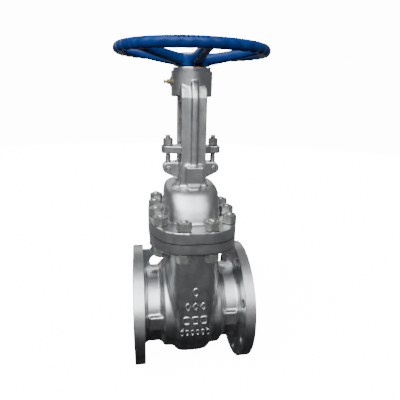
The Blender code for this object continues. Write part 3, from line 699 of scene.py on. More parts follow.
def pipe_end(side, shrink):
    """A barrel with its end flange, turned, and the raised face; shrink makes it that much smaller."""
    flange_r = FLANGE_R - shrink
    face, back = FACE_X - RAISED_FACE - shrink, FLANGE_BACK_X + shrink
    raised = face + RAISED_FACE - shrink
    fillet = [(BARREL_R + FLANGE_FILLET * (1 - math.cos(a)) - shrink,
               back - FLANGE_FILLET * (1 - math.sin(a))) for a in (math.pi / 2 * i / 6 for i in range(7))]
    profile = [(0, 20.0), (BARREL_R - shrink, 20.0), *fillet, (flange_r - 1.2, back), (flange_r, back + 1.2),
               (flange_r, face - 0.8), (flange_r - 0.8, face), (RAISED_FACE_R + 0.4, face),
               (RAISED_FACE_R, face + 0.4), (RAISED_FACE_R - 0.4, raised), (0, raised)]
    return turned([(radius, side * x) for radius, x in profile], "X", segments=144)


def seat_bulge():
    root_x = SEAT_BULGE_X + 12.0
    half = [(0, root_x), (BARREL_R - 2.0, root_x), (BARREL_R + 1.0, SEAT_BULGE_X + 8.0),
            (SEAT_BULGE_R - 1.5, SEAT_BULGE_X), (SEAT_BULGE_R, SEAT_BULGE_X - 4.0)]
    return turned(mirrored(half), "X", segments=144)


def lifting_web(side):
    """The plate between a flange's back, the barrel and the neck, before its hole is cut."""
    outline = [(45.0, 70.0), (112.0, 70.0), (112.0, WEB_TOP_Z), (95.0, WEB_TOP_Z), (92.0, WEB_TOP_Z + 1.0),
               (90.2, WEB_TOP_Z + 4.0), (89.0, BODY_JOINT_LOW_Z + 5.0), (45.0, BODY_JOINT_LOW_Z + 5.0)]
    return prism([(side * x, z) for x, z in outline], -WEB_HALF_Y, WEB_HALF_Y, "Y")


def seat_boss(side):
    """The inside ring that carries a seat, its face cut to the wedge's taper."""
    ends = sorted((side * 12.0, side * 52.0))
    return cut(cylinder(SEAT_BOSS_R, *ends, "X", segments=96), wedge_space(WEDGE_HALF_X + 4.0))


def stud_places():
    return [tuple(middle_of(f"bonnet_stud_{i:02d}").xy) for i in range(1, 13)]


def stud_cutters(low, high, face_low, face_high):
    """Cutters for the studs' holes through a joint flange, and for the faces that their nuts bear on."""
    holes = [chamfered_hole(STUD_HOLE_R, low, high, 0.5, "Z", (x, y, 0), 32) for x, y in stud_places()]
    faces = [cylinder(SPOT_FACE_R, face_low, face_high, "Z", (x, y, 0), 40) for x, y in stud_places()]
    return gather(holes), gather(faces)


def bead(x, z, half_x, half_z, power, y, width):
    """A raised cast bead that follows a small closed outline on the body's front."""
    curve = bpy.data.curves.new("bead", "CURVE")
    curve.dimensions = "3D"
    curve.bevel_depth = width * MM
    curve.bevel_resolution = 3
    line = curve.splines.new("POLY")
    outline = superellipse(half_x, half_z, power, 32)
    line.points.add(len(outline) - 1)
    for point, (a, b) in zip(line.points, outline):
        point.co = ((x + a) * MM, y * MM, (z + b) * MM, 1.0)
    line.use_cyclic_u = True
    made = linked("bead", curve)
    bpy.context.view_layer.update()
    mesh = bpy.data.meshes.new_from_object(made.evaluated_get(bpy.context.evaluated_depsgraph_get()))
    bpy.data.objects.remove(made)
    return linked("bead", mesh)


# Rows of plain raised marks, each (height, how many, spacing, half width, half height, outline's power)
MARK_ROWS = ((86.0, 1, 0.0, 5.6, 8.6, 2.0), (51.0, 3, 17.0, 5.4, 8.6, 1.25), (17.5, 3, 19.0, 6.4, 8.4, 5.0),
             (-13.0, 6, 11.6, 2.9, 6.0, 3.0))


def raised_marks():
    beads = []
    for z, count, spacing, half_x, half_z, power in MARK_ROWS:
        for i in range(count):
            x = spacing * (i - (count - 1) / 2)
            front = -math.sqrt(CHAMBER_R ** 2 - min(z, 0.0) ** 2)
            beads.append(bead(x, z, half_x, half_z, power, front + 0.35, 1.5 if count > 3 else 1.9))
    return gather(beads)


def body_casting():
    pads = [block((x - PAD_HALF, PAD_FACE_Y, -PAD_HALF), (x + PAD_HALF, -60.0, PAD_HALF))
            for x in (-PAD_X, PAD_X)]
    above = 8.0                 # metal above the joint's face, planed off after casting
    outline = superellipse(JOINT_HALF_X, JOINT_HALF_Y, JOINT_POWER)
    joint = prism(outline, BODY_JOINT_LOW_Z, BODY_TOP_Z + above)
    rough = [chamber(CHAMBER_R, 0.0, BODY_JOINT_LOW_Z + 5.0), seat_bulge(), pipe_end(-1, 0.5),
             pipe_end(1, 0.5), joint, *pads]
    body = cast(rough, 2.0, 20, 3, 0.5)
    join(body, pipe_end(-1, 0.0), pipe_end(1, 0.0), lifting_web(-1), lifting_web(1), raised_marks())
    cut(body, block((-200.0, -200.0, BODY_TOP_Z), (200.0, 200.0, BODY_TOP_Z + 50.0)))
    space = chamber(CHAMBER_R - CHAMBER_WALL, CHAMBER_WALL - 1.0, BODY_TOP_Z + 5.0)
    guides = [block((-GUIDE_HALF_X, side * GUIDE_IN_Y, GUIDE_LOW_Z),
                    (GUIDE_HALF_X, side * GUIDE_OUT_Y, BODY_TOP_Z - 4.0)) for side in (-1, 1)]
    cut(space, *guides, seat_boss(-1), seat_boss(1))
    bolt_holes = []
    for side in (-1, 1):
        low, high = sorted((side * FLANGE_BACK_X, side * (FACE_X - RAISED_FACE)))
        for i in range(BOLT_HOLES):
            y, z = at_angle(BOLT_CIRCLE_R, math.tau * (i + 0.5) / BOLT_HOLES)
            bolt_holes.append(chamfered_hole(BOLT_HOLE_R, low, high, 0.6, "X", (0, y, z)))
    across, height, radius = WEB_HOLE
    web_holes = [cylinder(radius, -40.0, 40.0, "Y", (side * across, 0, height)) for side in (-1, 1)]
    cut(body, space, cylinder(BORE_R, -150.0, 150.0, "X", segments=144),
        cylinder(SEAT_OUT_R + GAP, -SEAT_BACK_X - GAP, SEAT_BACK_X + GAP, "X", segments=144),
        gather(bolt_holes), gather(web_holes),
        *stud_cutters(BODY_JOINT_LOW_Z, BODY_TOP_Z, BODY_JOINT_LOW_Z - 24.0, BODY_JOINT_LOW_Z))
    piece(body, "body_casting", "cast_steel", "body")
    paint_faces(body, "machined_steel", is_machined_on_body)


def is_machined_on_body(centre, normal):
    """The raised faces, the bore and the joint's face."""
    round_pipe = math.hypot(centre.y, centre.z)
    raised = abs(centre.x) > FACE_X - 0.9 * RAISED_FACE and round_pipe < RAISED_FACE_R
    bore = round_pipe < BORE_R + 0.5
    joint = normal.z > 0.99 and centre.z > BODY_TOP_Z - 0.1
    return raised or bore or joint


# ---- bonnet and yoke casting ----

def dome(low, rows):
    """The dome, or its chamber, from its low end up over its shoulder."""
    wall = rows[0][1]
    rings = []
    levels = [(low, wall, wall), (BONNET_FLANGE_TOP_Z + 4.0, wall, wall + 0.5), *rows]
    for z, across, along in flowing(levels):
        outline = superellipse(DOME_HALF_X - across, DOME_HALF_Y - along, DOME_POWER)
        rings.append([(x, y, z) for x, y in outline])
    return loft(rings)


def ear_plate(side, front):
    """One plate of a fork that holds an eyebolt, round about its pin."""
    outline = [(20.0, 298.0), (20.0, PIN_Z + EAR_R)]
    for i in range(21):
        x, z = at_angle(EAR_R, math.radians(90.0 - 7.5 * i))
        outline.append((PIN_X + x, PIN_Z + z))
    outline.append((34.0, 312.0))
    ends = sorted((front * EAR_IN_Y, front * EAR_OUT_Y))
    return prism([(side * x, z) for x, z in outline], *ends, "Y")


def flared_slab(front, half_rows, inner, outer):
    """An upright slab whose half width follows rows of (height, half width), smoothly."""
    near, far = sorted((front * inner, front * outer))
    return loft([[(-half, near, z), (half, near, z), (half, far, z), (-half, far, z)]
                 for z, half in flowing(half_rows)])


def yoke_arm(front):
    """A flat ribbed arm, the square foot that it stands on, and its slanted top at the hub."""
    dome_in = DOME_TOP_Z - 6.0
    arm = flared_slab(front, ((300.0, 29.0), (312.0, 28.6), (326.0, 27.4), (345.0, ARM_HALF_X),
                              (400.0, ARM_HALF_X), (486.0, ARM_HALF_X)), ARM_IN_Y, ARM_OUT_Y)
    inside = flared_slab(front, ((dome_in, 28.0), (315.0, 28.0), (330.0, 26.5), (344.0, ARM_HALF_X)),
                         8.0, ARM_OUT_Y)
    swell = loft([[(x, y + front * 20.0, z) for x, y in superellipse(half, outer - 20.0, 2.4)]
                  for z, half, outer in flowing(ROOT_ROWS)])
    inner = front * FOOT_IN_Y
    foot_rows = ((dome_in, 11.0, 60.0), (299.0, 11.0, 62.0),
                 (FOOT_LOW_Z + 2.0, FOOT_HALF_X - 0.6, FOOT_OUT_Y - 2.0))
    foot_root = loft([[(-half, inner, z), (half, inner, z), (half, front * outer, z),
                       (-half, front * outer, z)] for z, half, outer in foot_rows])
    arm_tip = yoke_tip(front, ARM_TIP, ARM_HALF_X)
    rib = block((-RIB_HALF_X, front * ARM_IN_Y, 310.0), (RIB_HALF_X, front * RIB_OUT_Y, 474.0))
    foot = block((-FOOT_HALF_X, inner, FOOT_LOW_Z), (FOOT_HALF_X, front * FOOT_OUT_Y, FOOT_TOP_Z))
    return [arm, inside, swell, foot_root, arm_tip, rib, yoke_tip(front, RIB_TIP, RIB_HALF_X), foot]


def yoke_tip(front, outline, half):
    smooth = [outline[0], *[tuple(point) for point in flowing(outline[1:-1])], outline[-1]]
    return prism([(front * y, z) for y, z in smooth], -half, half, "X")


def crisp_hub():
    """The hub's turned outside and top edge."""
    return turned([(0, 500.0), (HUB_R - 0.5, 500.0), (HUB_R, 500.5), (HUB_R, HUB_TOP_Z - 0.8),
                   (HUB_R - 0.8, HUB_TOP_Z), (0, HUB_TOP_Z)], segments=128)


def crisp_foot(front):
    """The foot's squared face, with three stubs of the casting's risers on its edge."""
    inner, outer = FOOT_OUT_Y - 30.0, FOOT_OUT_Y
    foot = block((-FOOT_HALF_X, front * inner, FOOT_LOW_Z), (FOOT_HALF_X, front * outer, FOOT_TOP_Z))
    bevel = foot.modifiers.new("edges", "BEVEL")
    bevel.width = 1.3 * MM
    bevel.segments = 3
    settle(foot)
    stubs = [cylinder(2.4, FOOT_TOP_Z - 3.0, FOOT_TOP_Z + 1.2, "Z", (x, front * (outer - 3.6), 0), 16)
             for x in RISER_STUBS_X]
    return join(foot, *stubs)


def bonnet_casting():
    below = 8.0                 # metal under the joint's face, planed off after casting
    outline = superellipse(JOINT_HALF_X, JOINT_HALF_Y, JOINT_POWER)
    flange = prism(outline, BONNET_LOW_Z - below, BONNET_FLANGE_TOP_Z)
    boss_profile = [(0, -30.0), (12.0, -30.0), (12.0, -40.5), (7.5, -46.5), (0, -46.5)]
    boss = turned(boss_profile, "X", (0, 0, GREASE_Z))
    ears = [ear_plate(side, front) for side in (-1, 1) for front in (-1, 1)]
    rough = [dome(BONNET_FLANGE_TOP_Z - 6.0, DOME_ROWS), flange,
             cylinder(STUFFING_R, DOME_TOP_Z - 8.0, STUFFING_TOP_Z + 6.0, segments=96),
             cylinder(HUB_R - 0.3, HUB_LOW_Z, HUB_TOP_Z - 4.0, segments=128), *yoke_arm(-1), *yoke_arm(1),
             *ears, boss]
    bonnet = cast(rough, 1.7, 12, 2, 0.6)
    join(bonnet, crisp_hub(), crisp_foot(-1), crisp_foot(1))
    wide = 400.0
    cut(bonnet, block((-wide, -wide, BONNET_LOW_Z - 50.0), (wide, wide, BONNET_LOW_Z)),
        cylinder(STUFFING_R + 4.0, STUFFING_TOP_Z, STUFFING_TOP_Z + 30.0, segments=96),
        dome(BONNET_LOW_Z - 5.0, CHAMBER_ROWS),
        cylinder(PACKING_R, CHAMBER_ROOF_Z - 5.0, STUFFING_TOP_Z + 5.0, segments=96),
        cylinder(SLEEVE_R + GAP, HUB_LOW_Z - 5.0, COLLAR_LOW_Z + 5.0, segments=96),
        cylinder(COLLAR_R + GAP, COLLAR_LOW_Z - GAP, COLLAR_TOP_Z + GAP + 1.0, segments=96),
        cylinder(RETAINER_R - 3.2, COLLAR_TOP_Z + GAP, HUB_TOP_Z + 5.0, segments=96),
        cylinder(GREASE_HOLE_R, -60.0, -20.0, "X", (0, 0, GREASE_Z)),
        cylinder(LOCK_HOLE_R, 532.0, HUB_TOP_Z + 5.0, "Z", (SCREW_X, 0, 0)))
    for side in (-1, 1):
        place = (side * PIN_X, 0, PIN_Z)
        pin_holes = []
        for front in (-1, 1):
            near, far = sorted((front * EAR_IN_Y, front * EAR_OUT_Y))
            pin_holes.append(chamfered_hole(PIN_R + GAP, near, far, 0.5, "Y", place))
        cut(bonnet, gather(pin_holes),
            block((side * 34.5, -EAR_IN_Y, 305.0), (side * 66.0, EAR_IN_Y, 350.0)))
    stud_holes, spot_faces = stud_cutters(BONNET_LOW_Z, BONNET_FLANGE_TOP_Z, BONNET_FLANGE_TOP_Z,
                                          BONNET_FLANGE_TOP_Z + 24.0)
    cut(bonnet, spot_faces, stud_holes)
    piece(bonnet, "bonnet_and_yoke_casting", "cast_steel", "bonnet_yoke")


# ---- studs and nuts ----

def hex_nut(across, height, bore):
    """A hex nut with both its faces chamfered to a circle, standing on z = 0."""
    corner = across / math.sqrt(3)
    flat_r = 0.46 * across
    slope = (corner - flat_r) * math.tan(math.radians(32))
    barrel = turned([(0, 0), (flat_r, 0), (corner + 0.1, slope), (corner + 0.1, height - slope),
                     (flat_r, height), (0, height)], segments=72)
    nut = keep(prism(hexagon(across), -1.0, height + 1.0), barrel)
    cut(nut, chamfered_hole(bore, 0.0, height, 0.9))
    return nut


def domed_bar(radius, low, high, chamfer, crown):
    """A bar with chamfered, slightly crowned ends."""
    half = [(0, 0.0), (0.45 * radius, 0.12 * crown), (radius - chamfer, crown),
            (radius, crown + 1.7 * chamfer)]
    upper = [(reach, high - z) for reach, z in reversed(half)]
    return turned([(reach, low + z) for reach, z in half] + upper, segments=48)


def bonnet_bolting():
    nut = hex_nut(NUT_ACROSS, NUT_HEIGHT, STUD_R + 2 * GAP)
    reach = STUD_TOP_Z - STUD_LOW_Z
    stud = domed_bar(STUD_R, 0.0, reach, 1.6, 1.3)
    thread_r = STUD_R + 0.05
    ends = [keep(threaded(thread_r, 2.0, 1.15, z, z + 8.0), domed_bar(thread_r, z, z + 8.0, 0.1, 0.1))
            for z in (-0.5, reach - 7.5)]
    core = cylinder(STUD_R - 0.6, 6.8, reach - 6.8)
    keep(join(core, *ends), stud)
    for i, (x, y) in enumerate(stud_places(), 1):
        turn = math.radians(NUT_TURN * i)
        stud_node, nut_node = f"bonnet_stud_{i:02d}", f"bonnet_nut_{i:02d}"
        for word, shape, z, node in (("stud", core, STUD_LOW_Z, stud_node),
                                     ("upper_nut", nut, BONNET_FLANGE_TOP_Z + GAP, nut_node),
                                     ("lower_nut", nut, BODY_JOINT_LOW_Z - GAP - NUT_HEIGHT, stud_node)):
            copy_of(shape, f"joint_{word}_{i:02d}", (x, y, z), turn, node)
    for shape in (core, nut):
        finish_shape(shape, "bolt_steel")
    paint_faces(core, "machined_steel",
                lambda centre, normal: abs(normal.z) > 0.75 and not 5.0 < centre.z < reach - 2.5)
    for shape in (core, nut):
        bpy.data.objects.remove(shape)


def finish_shape(made, slot):
    """The look and the shading of a mesh that several objects share."""
    made.data.materials.clear()
    made.data.materials.append(LOOKS[slot])
    made.data.shade_smooth()
    made.data.set_sharp_from_angle(angle=SHARP_ANGLE)


# ---- seats, wedge and stem ----

def seat_rings():
    for side, node in ((-1, "seat_ring_inlet"), (1, "seat_ring_outlet")):
        profile = rounded([(BORE_R, 10.0), (SEAT_OUT_R, 10.0), (SEAT_OUT_R, SEAT_BACK_X),
                           (BORE_R, SEAT_BACK_X)], 0.8)
        ring = turned([(radius, side * x) for radius, x in profile], "X", segments=144)
        cut(ring, wedge_space(WEDGE_HALF_X + GAP))
        piece(ring, f"{node}_turned", "machined_steel", node)


def wedge_gate():
    wedge = keep(cylinder(WEDGE_R, -60.0, 60.0, "X", segments=144), wedge_space(WEDGE_HALF_X))
    groove = rounded([(42.0, -4.5), (WEDGE_R + 10.0, -4.5), (WEDGE_R + 10.0, 4.5), (42.0, 4.5)], 3.0)
    cut(wedge, turned(groove, "X", segments=96))
    ears = [block((-15.0, side * 78.0, -28.0), (15.0, side * 98.0, 44.0)) for side in (-1, 1)]
    join(wedge, block((-24.0, -33.0, 72.0), (24.0, 33.0, SLOT_TOP_Z)), *ears)
    guide_half = GUIDE_HALF_X + 1.0
    slots = [block((-guide_half, side * (GUIDE_IN_Y - 2.0), -40.0), (guide_half, side * 106.0, 60.0))
             for side in (-1, 1)]
    cut(wedge, block((-40.0, -23.0, HEAD_LOW_Z - 0.6), (40.0, 23.0, HEAD_TOP_Z + 0.4)),
        block((-40.0, -11.5, HEAD_TOP_Z - 2.0), (40.0, 11.5, SLOT_TOP_Z + 5.0)), *slots)
    for side in (-1, 1):
        lean = Matrix.Rotation(side * math.atan(WEDGE_TAPER), 4, "Y")
        dish = turned(rounded([(0, 0.0), (58.0, 0.0), (64.0, 8.0), (0, 8.0)], 1.5), segments=96)
        dish.data.transform(Matrix.Translation((side * (WEDGE_HALF_X - 1.6) * MM, 0, 0)) @ lean
                            @ Matrix.Rotation(side * math.pi / 2, 4, "Y"))
        cut(wedge, dish)
    piece(wedge, "wedge_gate", "machined_steel", "wedge", edges=0.7)


def stem_screw():
    """The stem: T-shaped head, backseat shoulder, smooth shank, and a left-hand thread above the gland."""
    profile = [(0, HEAD_TOP_Z - 2.0), (10.0, HEAD_TOP_Z - 2.0), (10.0, SLOT_TOP_Z + 0.8),
               (18.0, SHOULDER_TOP_Z - 2.5), (18.0, SHOULDER_TOP_Z - 1.5), (STEM_R, SHOULDER_TOP_Z),
               (STEM_R, THREAD_LOW_Z), (STEM_R - 3.3, THREAD_LOW_Z + 3.0), (0, THREAD_LOW_Z + 3.0)]
    stem = turned(rounded(profile, 0.6), segments=64)
    head = block((-18.0, -22.0, HEAD_LOW_Z), (18.0, 22.0, HEAD_TOP_Z))
    screw = threaded(STEM_R, THREAD_PITCH, 3.2, THREAD_LOW_Z, STEM_TOP_Z, 0.32, 0.14, 56, left_hand=True)
    bar = turned([(0, THREAD_LOW_Z), (STEM_R - 3.2, THREAD_LOW_Z), (STEM_R + 0.5, THREAD_LOW_Z + 3.7),
                  (STEM_R + 0.5, STEM_TOP_Z - 2.6), (STEM_R - 2.4, STEM_TOP_Z), (0, STEM_TOP_Z)],
                 segments=64)
    join(stem, head, keep(screw, bar))
    piece(stem, "stem_screw", "machined_steel", "stem")


# ---- gland ----

def gland():
    low, high = box_of("gland_follower")
    head_low = STUFFING_TOP_Z + 4.0
    follower = turned(rounded([(14.5, low.z), (22.0, low.z), (22.0, head_low), (27.0, head_low),
                               (27.0, high.z - 3.0), (24.0, high.z), (14.5, high.z)], 0.6), segments=72)
    piece(follower, "gland_follower_turned", "machined_steel", "gland_follower")
    low, high = box_of("gland_flange")
    quarter = ((22.0, 27.0), (42.0, 17.5), (58.0, 16.0), (high.x, 10.0))
    right = [(x, -y) for x, y in quarter] + [(x, y) for x, y in reversed(quarter)]
    outline = right + [(-x, -y) for x, y in right]
    flange = cast([prism(outline, low.z, high.z)], 1.0, 0, 4, 0.5)
    slot_half = EYEBOLT_R + 0.9
    below, above = low.z - 5.0, high.z + 5.0
    ends = [cylinder(slot_half, below, above, "Z", (side * PIN_X, 0, 0)) for side in (-1, 1)]
    slots = [block((side * PIN_X, -slot_half, below), (side * 80.0, slot_half, above)) for side in (-1, 1)]
    cut(flange, cylinder(STEM_R + 1.2, below, above), *ends, *slots)
    piece(flange, "gland_flange_casting", "cast_steel", "gland_flange")


def eye(pivot):
    """An eyebolt's round eye, its edges rounded, before its pin's hole is cut."""
    corner = 1.6
    edges = []
    for end, angles in ((-1, (-90, -60, -30, 0)), (1, (0, 30, 60, 90))):
        for angle in map(math.radians, angles):
            out, along = at_angle(corner, angle)
            edges.append((EYE_R - corner + out, (EYE_HALF_Y - corner) * end + along))
    return turned([(0, -EYE_HALF_Y), *edges, (0, EYE_HALF_Y)], "Y", pivot, 56)


def eyebolts():
    bolt_top = box_of("eyebolt_right")[1].z
    nut_low, nut_high = box_of("gland_nut_right")
    nut = hex_nut(GLAND_NUT_ACROSS, nut_high.z - nut_low.z, EYEBOLT_R + GAP)
    finish_shape(nut, "bolt_steel")
    thread_low = 360.0
    neck_r = EYEBOLT_R - 1.1
    pin_end = EAR_OUT_Y + 1.4
    for side, word in ((-1, "left"), (1, "right")):
        pivot = (side * PIN_X, 0, PIN_Z)
        shank = turned(rounded([(0, PIN_Z), (EYEBOLT_R, PIN_Z), (EYEBOLT_R, thread_low),
                                (neck_r, thread_low + 1.1), (neck_r, thread_low + 3.0),
                                (0, thread_low + 3.0)], 0.3))
        rod = keep(threaded(EYEBOLT_R, 1.75, 0.95, thread_low, bolt_top, segments=32),
                   domed_bar(EYEBOLT_R + 0.1, thread_low, bolt_top, 1.3, 0.7))
        bolt = join(shank, rod)
        bolt.data.transform(Matrix.Translation((side * PIN_X * MM, 0, 0)))
        join(bolt, eye(pivot))
        cut(bolt, chamfered_hole(PIN_R + GAP, -EYE_HALF_Y, EYE_HALF_Y, 0.6, "Y", pivot))
        piece(bolt, f"eyebolt_{word}_forged", "bolt_steel", f"eyebolt_{word}")
        half = [(0, pin_end - 0.5), (1.1, pin_end - 0.5), (1.5, pin_end), (PIN_R - 1.3, pin_end),
                (PIN_R - 0.4, pin_end - 0.4), (PIN_R, pin_end - 1.4)]
        pin = turned(mirrored(half), "Y", pivot, 40)
        piece(pin, f"eyebolt_pin_{word}_riveted", "bolt_steel", f"eyebolt_pin_{word}")
        turn = math.radians(GLAND_NUT_TURNS[word])
        node = f"gland_nut_{word}"
        copy_of(nut, f"{node}_hex", (side * PIN_X, 0, nut_low.z), turn, node)
    bpy.data.objects.remove(nut)


# ---- yoke sleeve, retainer, grease nipple ----

def sleeve():
    bore = STEM_R + 0.4
    top = STEM_TOP_Z - 1.0
    profile = [(bore, HUB_LOW_Z + 2.0), (SLEEVE_R, HUB_LOW_Z + 2.0), (SLEEVE_R, COLLAR_LOW_Z),
               (COLLAR_R, COLLAR_LOW_Z), (COLLAR_R, COLLAR_TOP_Z), (SLEEVE_NECK_R, COLLAR_TOP_Z),
               (SLEEVE_NECK_R, WHEEL_LOW_Z - GAP), (SLEEVE_WHEEL_R, WHEEL_LOW_Z - GAP),
               (SLEEVE_WHEEL_R, top), (bore, top)]
    made = turned(rounded(profile, 0.8), segments=96)
    cut(made, block((SLEEVE_WHEEL_R - 3.0, -KEY_HALF - GAP, WHEEL_LOW_Z + 0.7),
                    (SLEEVE_WHEEL_R + 5.0, KEY_HALF + GAP, top + 20.0)))
    piece(made, "yoke_sleeve_turned", "bronze", "yoke_sleeve")


def retainer():
    """The ring that closes the hub, with two slots for its spanner, and the screw that locks it."""
    low, flange_low, top = COLLAR_TOP_Z + GAP, HUB_TOP_Z + GAP, RETAINER_TOP_Z
    bore, spigot = SLEEVE_NECK_R + GAP, RETAINER_R - 3.5
    ring = turned([(bore, low), (spigot, low), (spigot, flange_low), (RETAINER_R - 0.4, flange_low),
                   (RETAINER_R, flange_low + 0.4), (RETAINER_R, top - 2.0), (RETAINER_R - 0.6, top - 0.6),
                   (RETAINER_R - 2.0, top), (bore + 0.5, top), (bore, top - 0.5)], segments=96)
    slots = [block((-3.2, side * 33.0, top - 3.0), (3.2, side * 45.0, top + 5.0)) for side in (-1, 1)]
    cut(ring, cylinder(LOCK_HOLE_R, 530.0, 550.0, "Z", (SCREW_X, 0, 0)), *slots)
    piece(ring, "sleeve_retainer_ring", "cast_steel", "sleeve_retainer", edges=0.25)
    head_low, head_top = top + 0.1, top + 2.0
    screw = turned(rounded([(0, 533.0), (2.1, 533.0), (2.1, head_low), (3.3, head_low), (3.3, head_top),
                            (0, head_top)], 0.4), "Z", (SCREW_X, 0, 0), 32)
    cut(screw, block((SCREW_X - 5.0, -0.4, head_top - 0.9), (SCREW_X + 5.0, 0.4, head_top + 1.0)))
    piece(screw, "retainer_lock_screw", "bolt_steel", "retainer_set_screw")


def grease_nipple():
    """Hexagon, neck and ball head, pointing along -X."""
    centre = (0, 0, GREASE_Z)
    head = [(53.0, 2.9), (54.4, 2.7), (55.6, 3.5), (56.6, 4.0), (57.6, 3.9), (58.8, 2.9), (59.3, 1.9),
            (59.4, 1.0), (58.8, 0.8), (58.8, 0)]
    profile = [(41.0, 0), (41.0, 3.9), (46.8, 3.9), (46.9, 5.0), (51.0, 5.0), (52.0, 3.6), *head]
    nipple = turned([(radius, -x) for x, radius in profile], "X", centre, 40)
    flats = prism([(y, GREASE_Z + z) for y, z in hexagon(10.4)], -51.0, -46.9, "X")
    ends = turned(rounded([(0, -46.9), (5.8, -46.9), (5.8, -51.0), (0, -51.0)], 0.8), "X", centre)
    join(nipple, keep(flats, ends))
    piece(nipple, "grease_nipple_brass", "brass", "grease_nipple")


# ---- handwheel ----

def rim(shrink, dent):
    """The rim, its outer lower side pressed in by finger dents; shrink thins its section."""
    around, about = FINGER_DENTS * 12, 32
    shape = bmesh.new()
    rows = []
    for i in range(around):
        angle = math.tau * i / around
        pressed = (0.5 - 0.5 * math.cos(FINGER_DENTS * angle)) ** 1.5
        row = []
        for j in range(about):
            turn = math.tau * j / about
            depth = dent * pressed * max(0.0, math.cos(turn + math.radians(32.0))) ** 1.3 + shrink
            radius = RIM_CENTRE_R + (RIM_HALF_WIDTH - depth) * math.cos(turn)
            height = RIM_CENTRE_Z + (RIM_HALF_HEIGHT - depth) * math.sin(turn)
            row.append(shape.verts.new((*at_angle(radius, angle), height)))
        rows.append(row)
    for i in range(around):
        for j in range(about):
            here, there, k = rows[i], rows[(i + 1) % around], (j + 1) % about
            shape.faces.new((here[j], there[j], there[k], here[k]))
    return solid(shape)


# A spoke's radius from the wheel's axis, with its underside, its top and its half width there
SPOKE_ROWS = ((24.0, 546.6, 567.4, 15.0), (36.0, 547.6, 569.6, 14.0), (52.0, 550.2, 571.6, 11.8),
              (80.0, 555.5, 575.8, 10.8), (112.0, 562.4, 580.4, 10.8), (132.0, 566.6, 582.4, 12.2),
              (150.0, 569.5, 582.6, 14.5))


def spoke(angle):
    """One dished spoke, rising from the wheel's hub to its rim, wider at both ends."""
    turn = Matrix.Rotation(angle, 4, "Z")
    return loft([[turn @ Vector((radius, y, (low + high) / 2 + z))
                  for y, z in superellipse(half, (high - low) / 2, 3.0, 32)]
                 for radius, low, high, half in flowing(SPOKE_ROWS)])


def rim_marks():
    """Two rows of plain raised bars on the rim: one on top at the front, one inside at the back."""
    bars = []
    for first, step, count, section in ((-106.0, 2.9, 7, 50.0), (36.0, 3.4, 8, 150.0)):
        lean = math.radians(section)
        for i in range(count):
            angle = math.radians(first + step * i)
            radial = Vector((*at_angle(1.0, angle), 0.0))
            around = Vector((*at_angle(1.0, angle + math.pi / 2), 0.0))
            out = radial * math.cos(lean) + Vector((0, 0, math.sin(lean)))
            place = radial * (RIM_CENTRE_R + RIM_HALF_WIDTH * math.cos(lean))
            place.z = RIM_CENTRE_Z + RIM_HALF_HEIGHT * math.sin(lean)
            bar = block((-1.4, -2.4, -1.5), (1.4, 2.4, 0.8))
            stance = Matrix((around, out.cross(around), out)).transposed().to_4x4()
            bar.data.transform(Matrix.Translation(place * MM) @ stance)
            bars.append(bar)
    return gather(bars)


def handwheel():
    spokes = [spoke(FIRST_SPOKE + math.tau * i / SPOKES) for i in range(SPOKES)]
    hub = cylinder(WHEEL_HUB_R, WHEEL_LOW_Z - 3.0, WHEEL_HUB_TOP_Z + 3.0, segments=96)
    wheel = cast([rim(0.4, 2.2), hub, *spokes], 1.6, 22, 3, 0.7)
    join(wheel, rim(0.0, 2.2), rim_marks())
    above = 600.0
    cut(wheel, cylinder(45.0, WHEEL_LOW_Z - 20.0, WHEEL_LOW_Z, segments=96),
        cylinder(33.6, WHEEL_HUB_TOP_Z, above, segments=96),
        cylinder(SLEEVE_WHEEL_R + GAP, WHEEL_LOW_Z - 5.0, above, segments=96),
        block((20.0, -KEY_HALF - GAP, WHEEL_LOW_Z - 5.0), (SLEEVE_WHEEL_R + 3.5, KEY_HALF + GAP, above)))
    piece(wheel, "handwheel_casting", "wheel_paint", "handwheel")
    low, high = box_of("handwheel_nut")
    nut = turned(rounded([(SLEEVE_WHEEL_R + GAP, low.z), (32.0, low.z), (32.0, high.z),
                          (SLEEVE_WHEEL_R + GAP, high.z)], 1.2), segments=96)
    for i in range(4):
        notch = block((28.5, -3.5, low.z + 1.5), (40.0, 3.5, high.z + 5.0))
        notch.data.transform(Matrix.Rotation(math.tau * i / 4 + 0.6, 4, "Z"))
        cut(nut, notch)
    piece(nut, "handwheel_ring_nut", "bolt_steel", "handwheel_nut", edges=0.3)


# ---- what stays as the CAD has it ----

def carried_over():
    """Hidden pieces whose CAD shape is right get only a look."""
    kept = {"handwheel_key": "bolt_steel", "backseat_bushing": "machined_steel", "bonnet_gasket": "graphite",
            **{f"packing_ring_{i}": "graphite" for i in range(1, 5)}}
    for node, slot in kept.items():
        made = frame["nodes"][node]
        made.data.materials.clear()
        made.data.materials.append(LOOKS[slot])


# ---- studio ----

CAMERA_PLACE = (-0.11496, -0.81328, 0.49549)
CAMERA_YAW = math.radians(9.683)        # from +Y towards +X
CAMERA_PITCH = math.radians(-16.197)
CAMERA_ROLL = math.radians(1.346)
CAMERA_LENS = 33.52


def camera():
    level = math.cos(CAMERA_PITCH)
    forward = Vector((math.sin(CAMERA_YAW) * level, math.cos(CAMERA_YAW) * level, math.sin(CAMERA_PITCH)))
    right = Vector((math.cos(CAMERA_YAW), -math.sin(CAMERA_YAW), 0.0))
    upright = Matrix((right, right.cross(forward), -forward)).transposed().to_4x4()
    made = linked("camera", bpy.data.cameras.new("camera"))
    made.data.lens = CAMERA_LENS
    made.data.clip_start = 0.01
    made.matrix_world = Matrix.Translation(CAMERA_PLACE) @ upright @ Matrix.Rotation(CAMERA_ROLL, 4, "Z")
    bpy.context.scene.camera = made


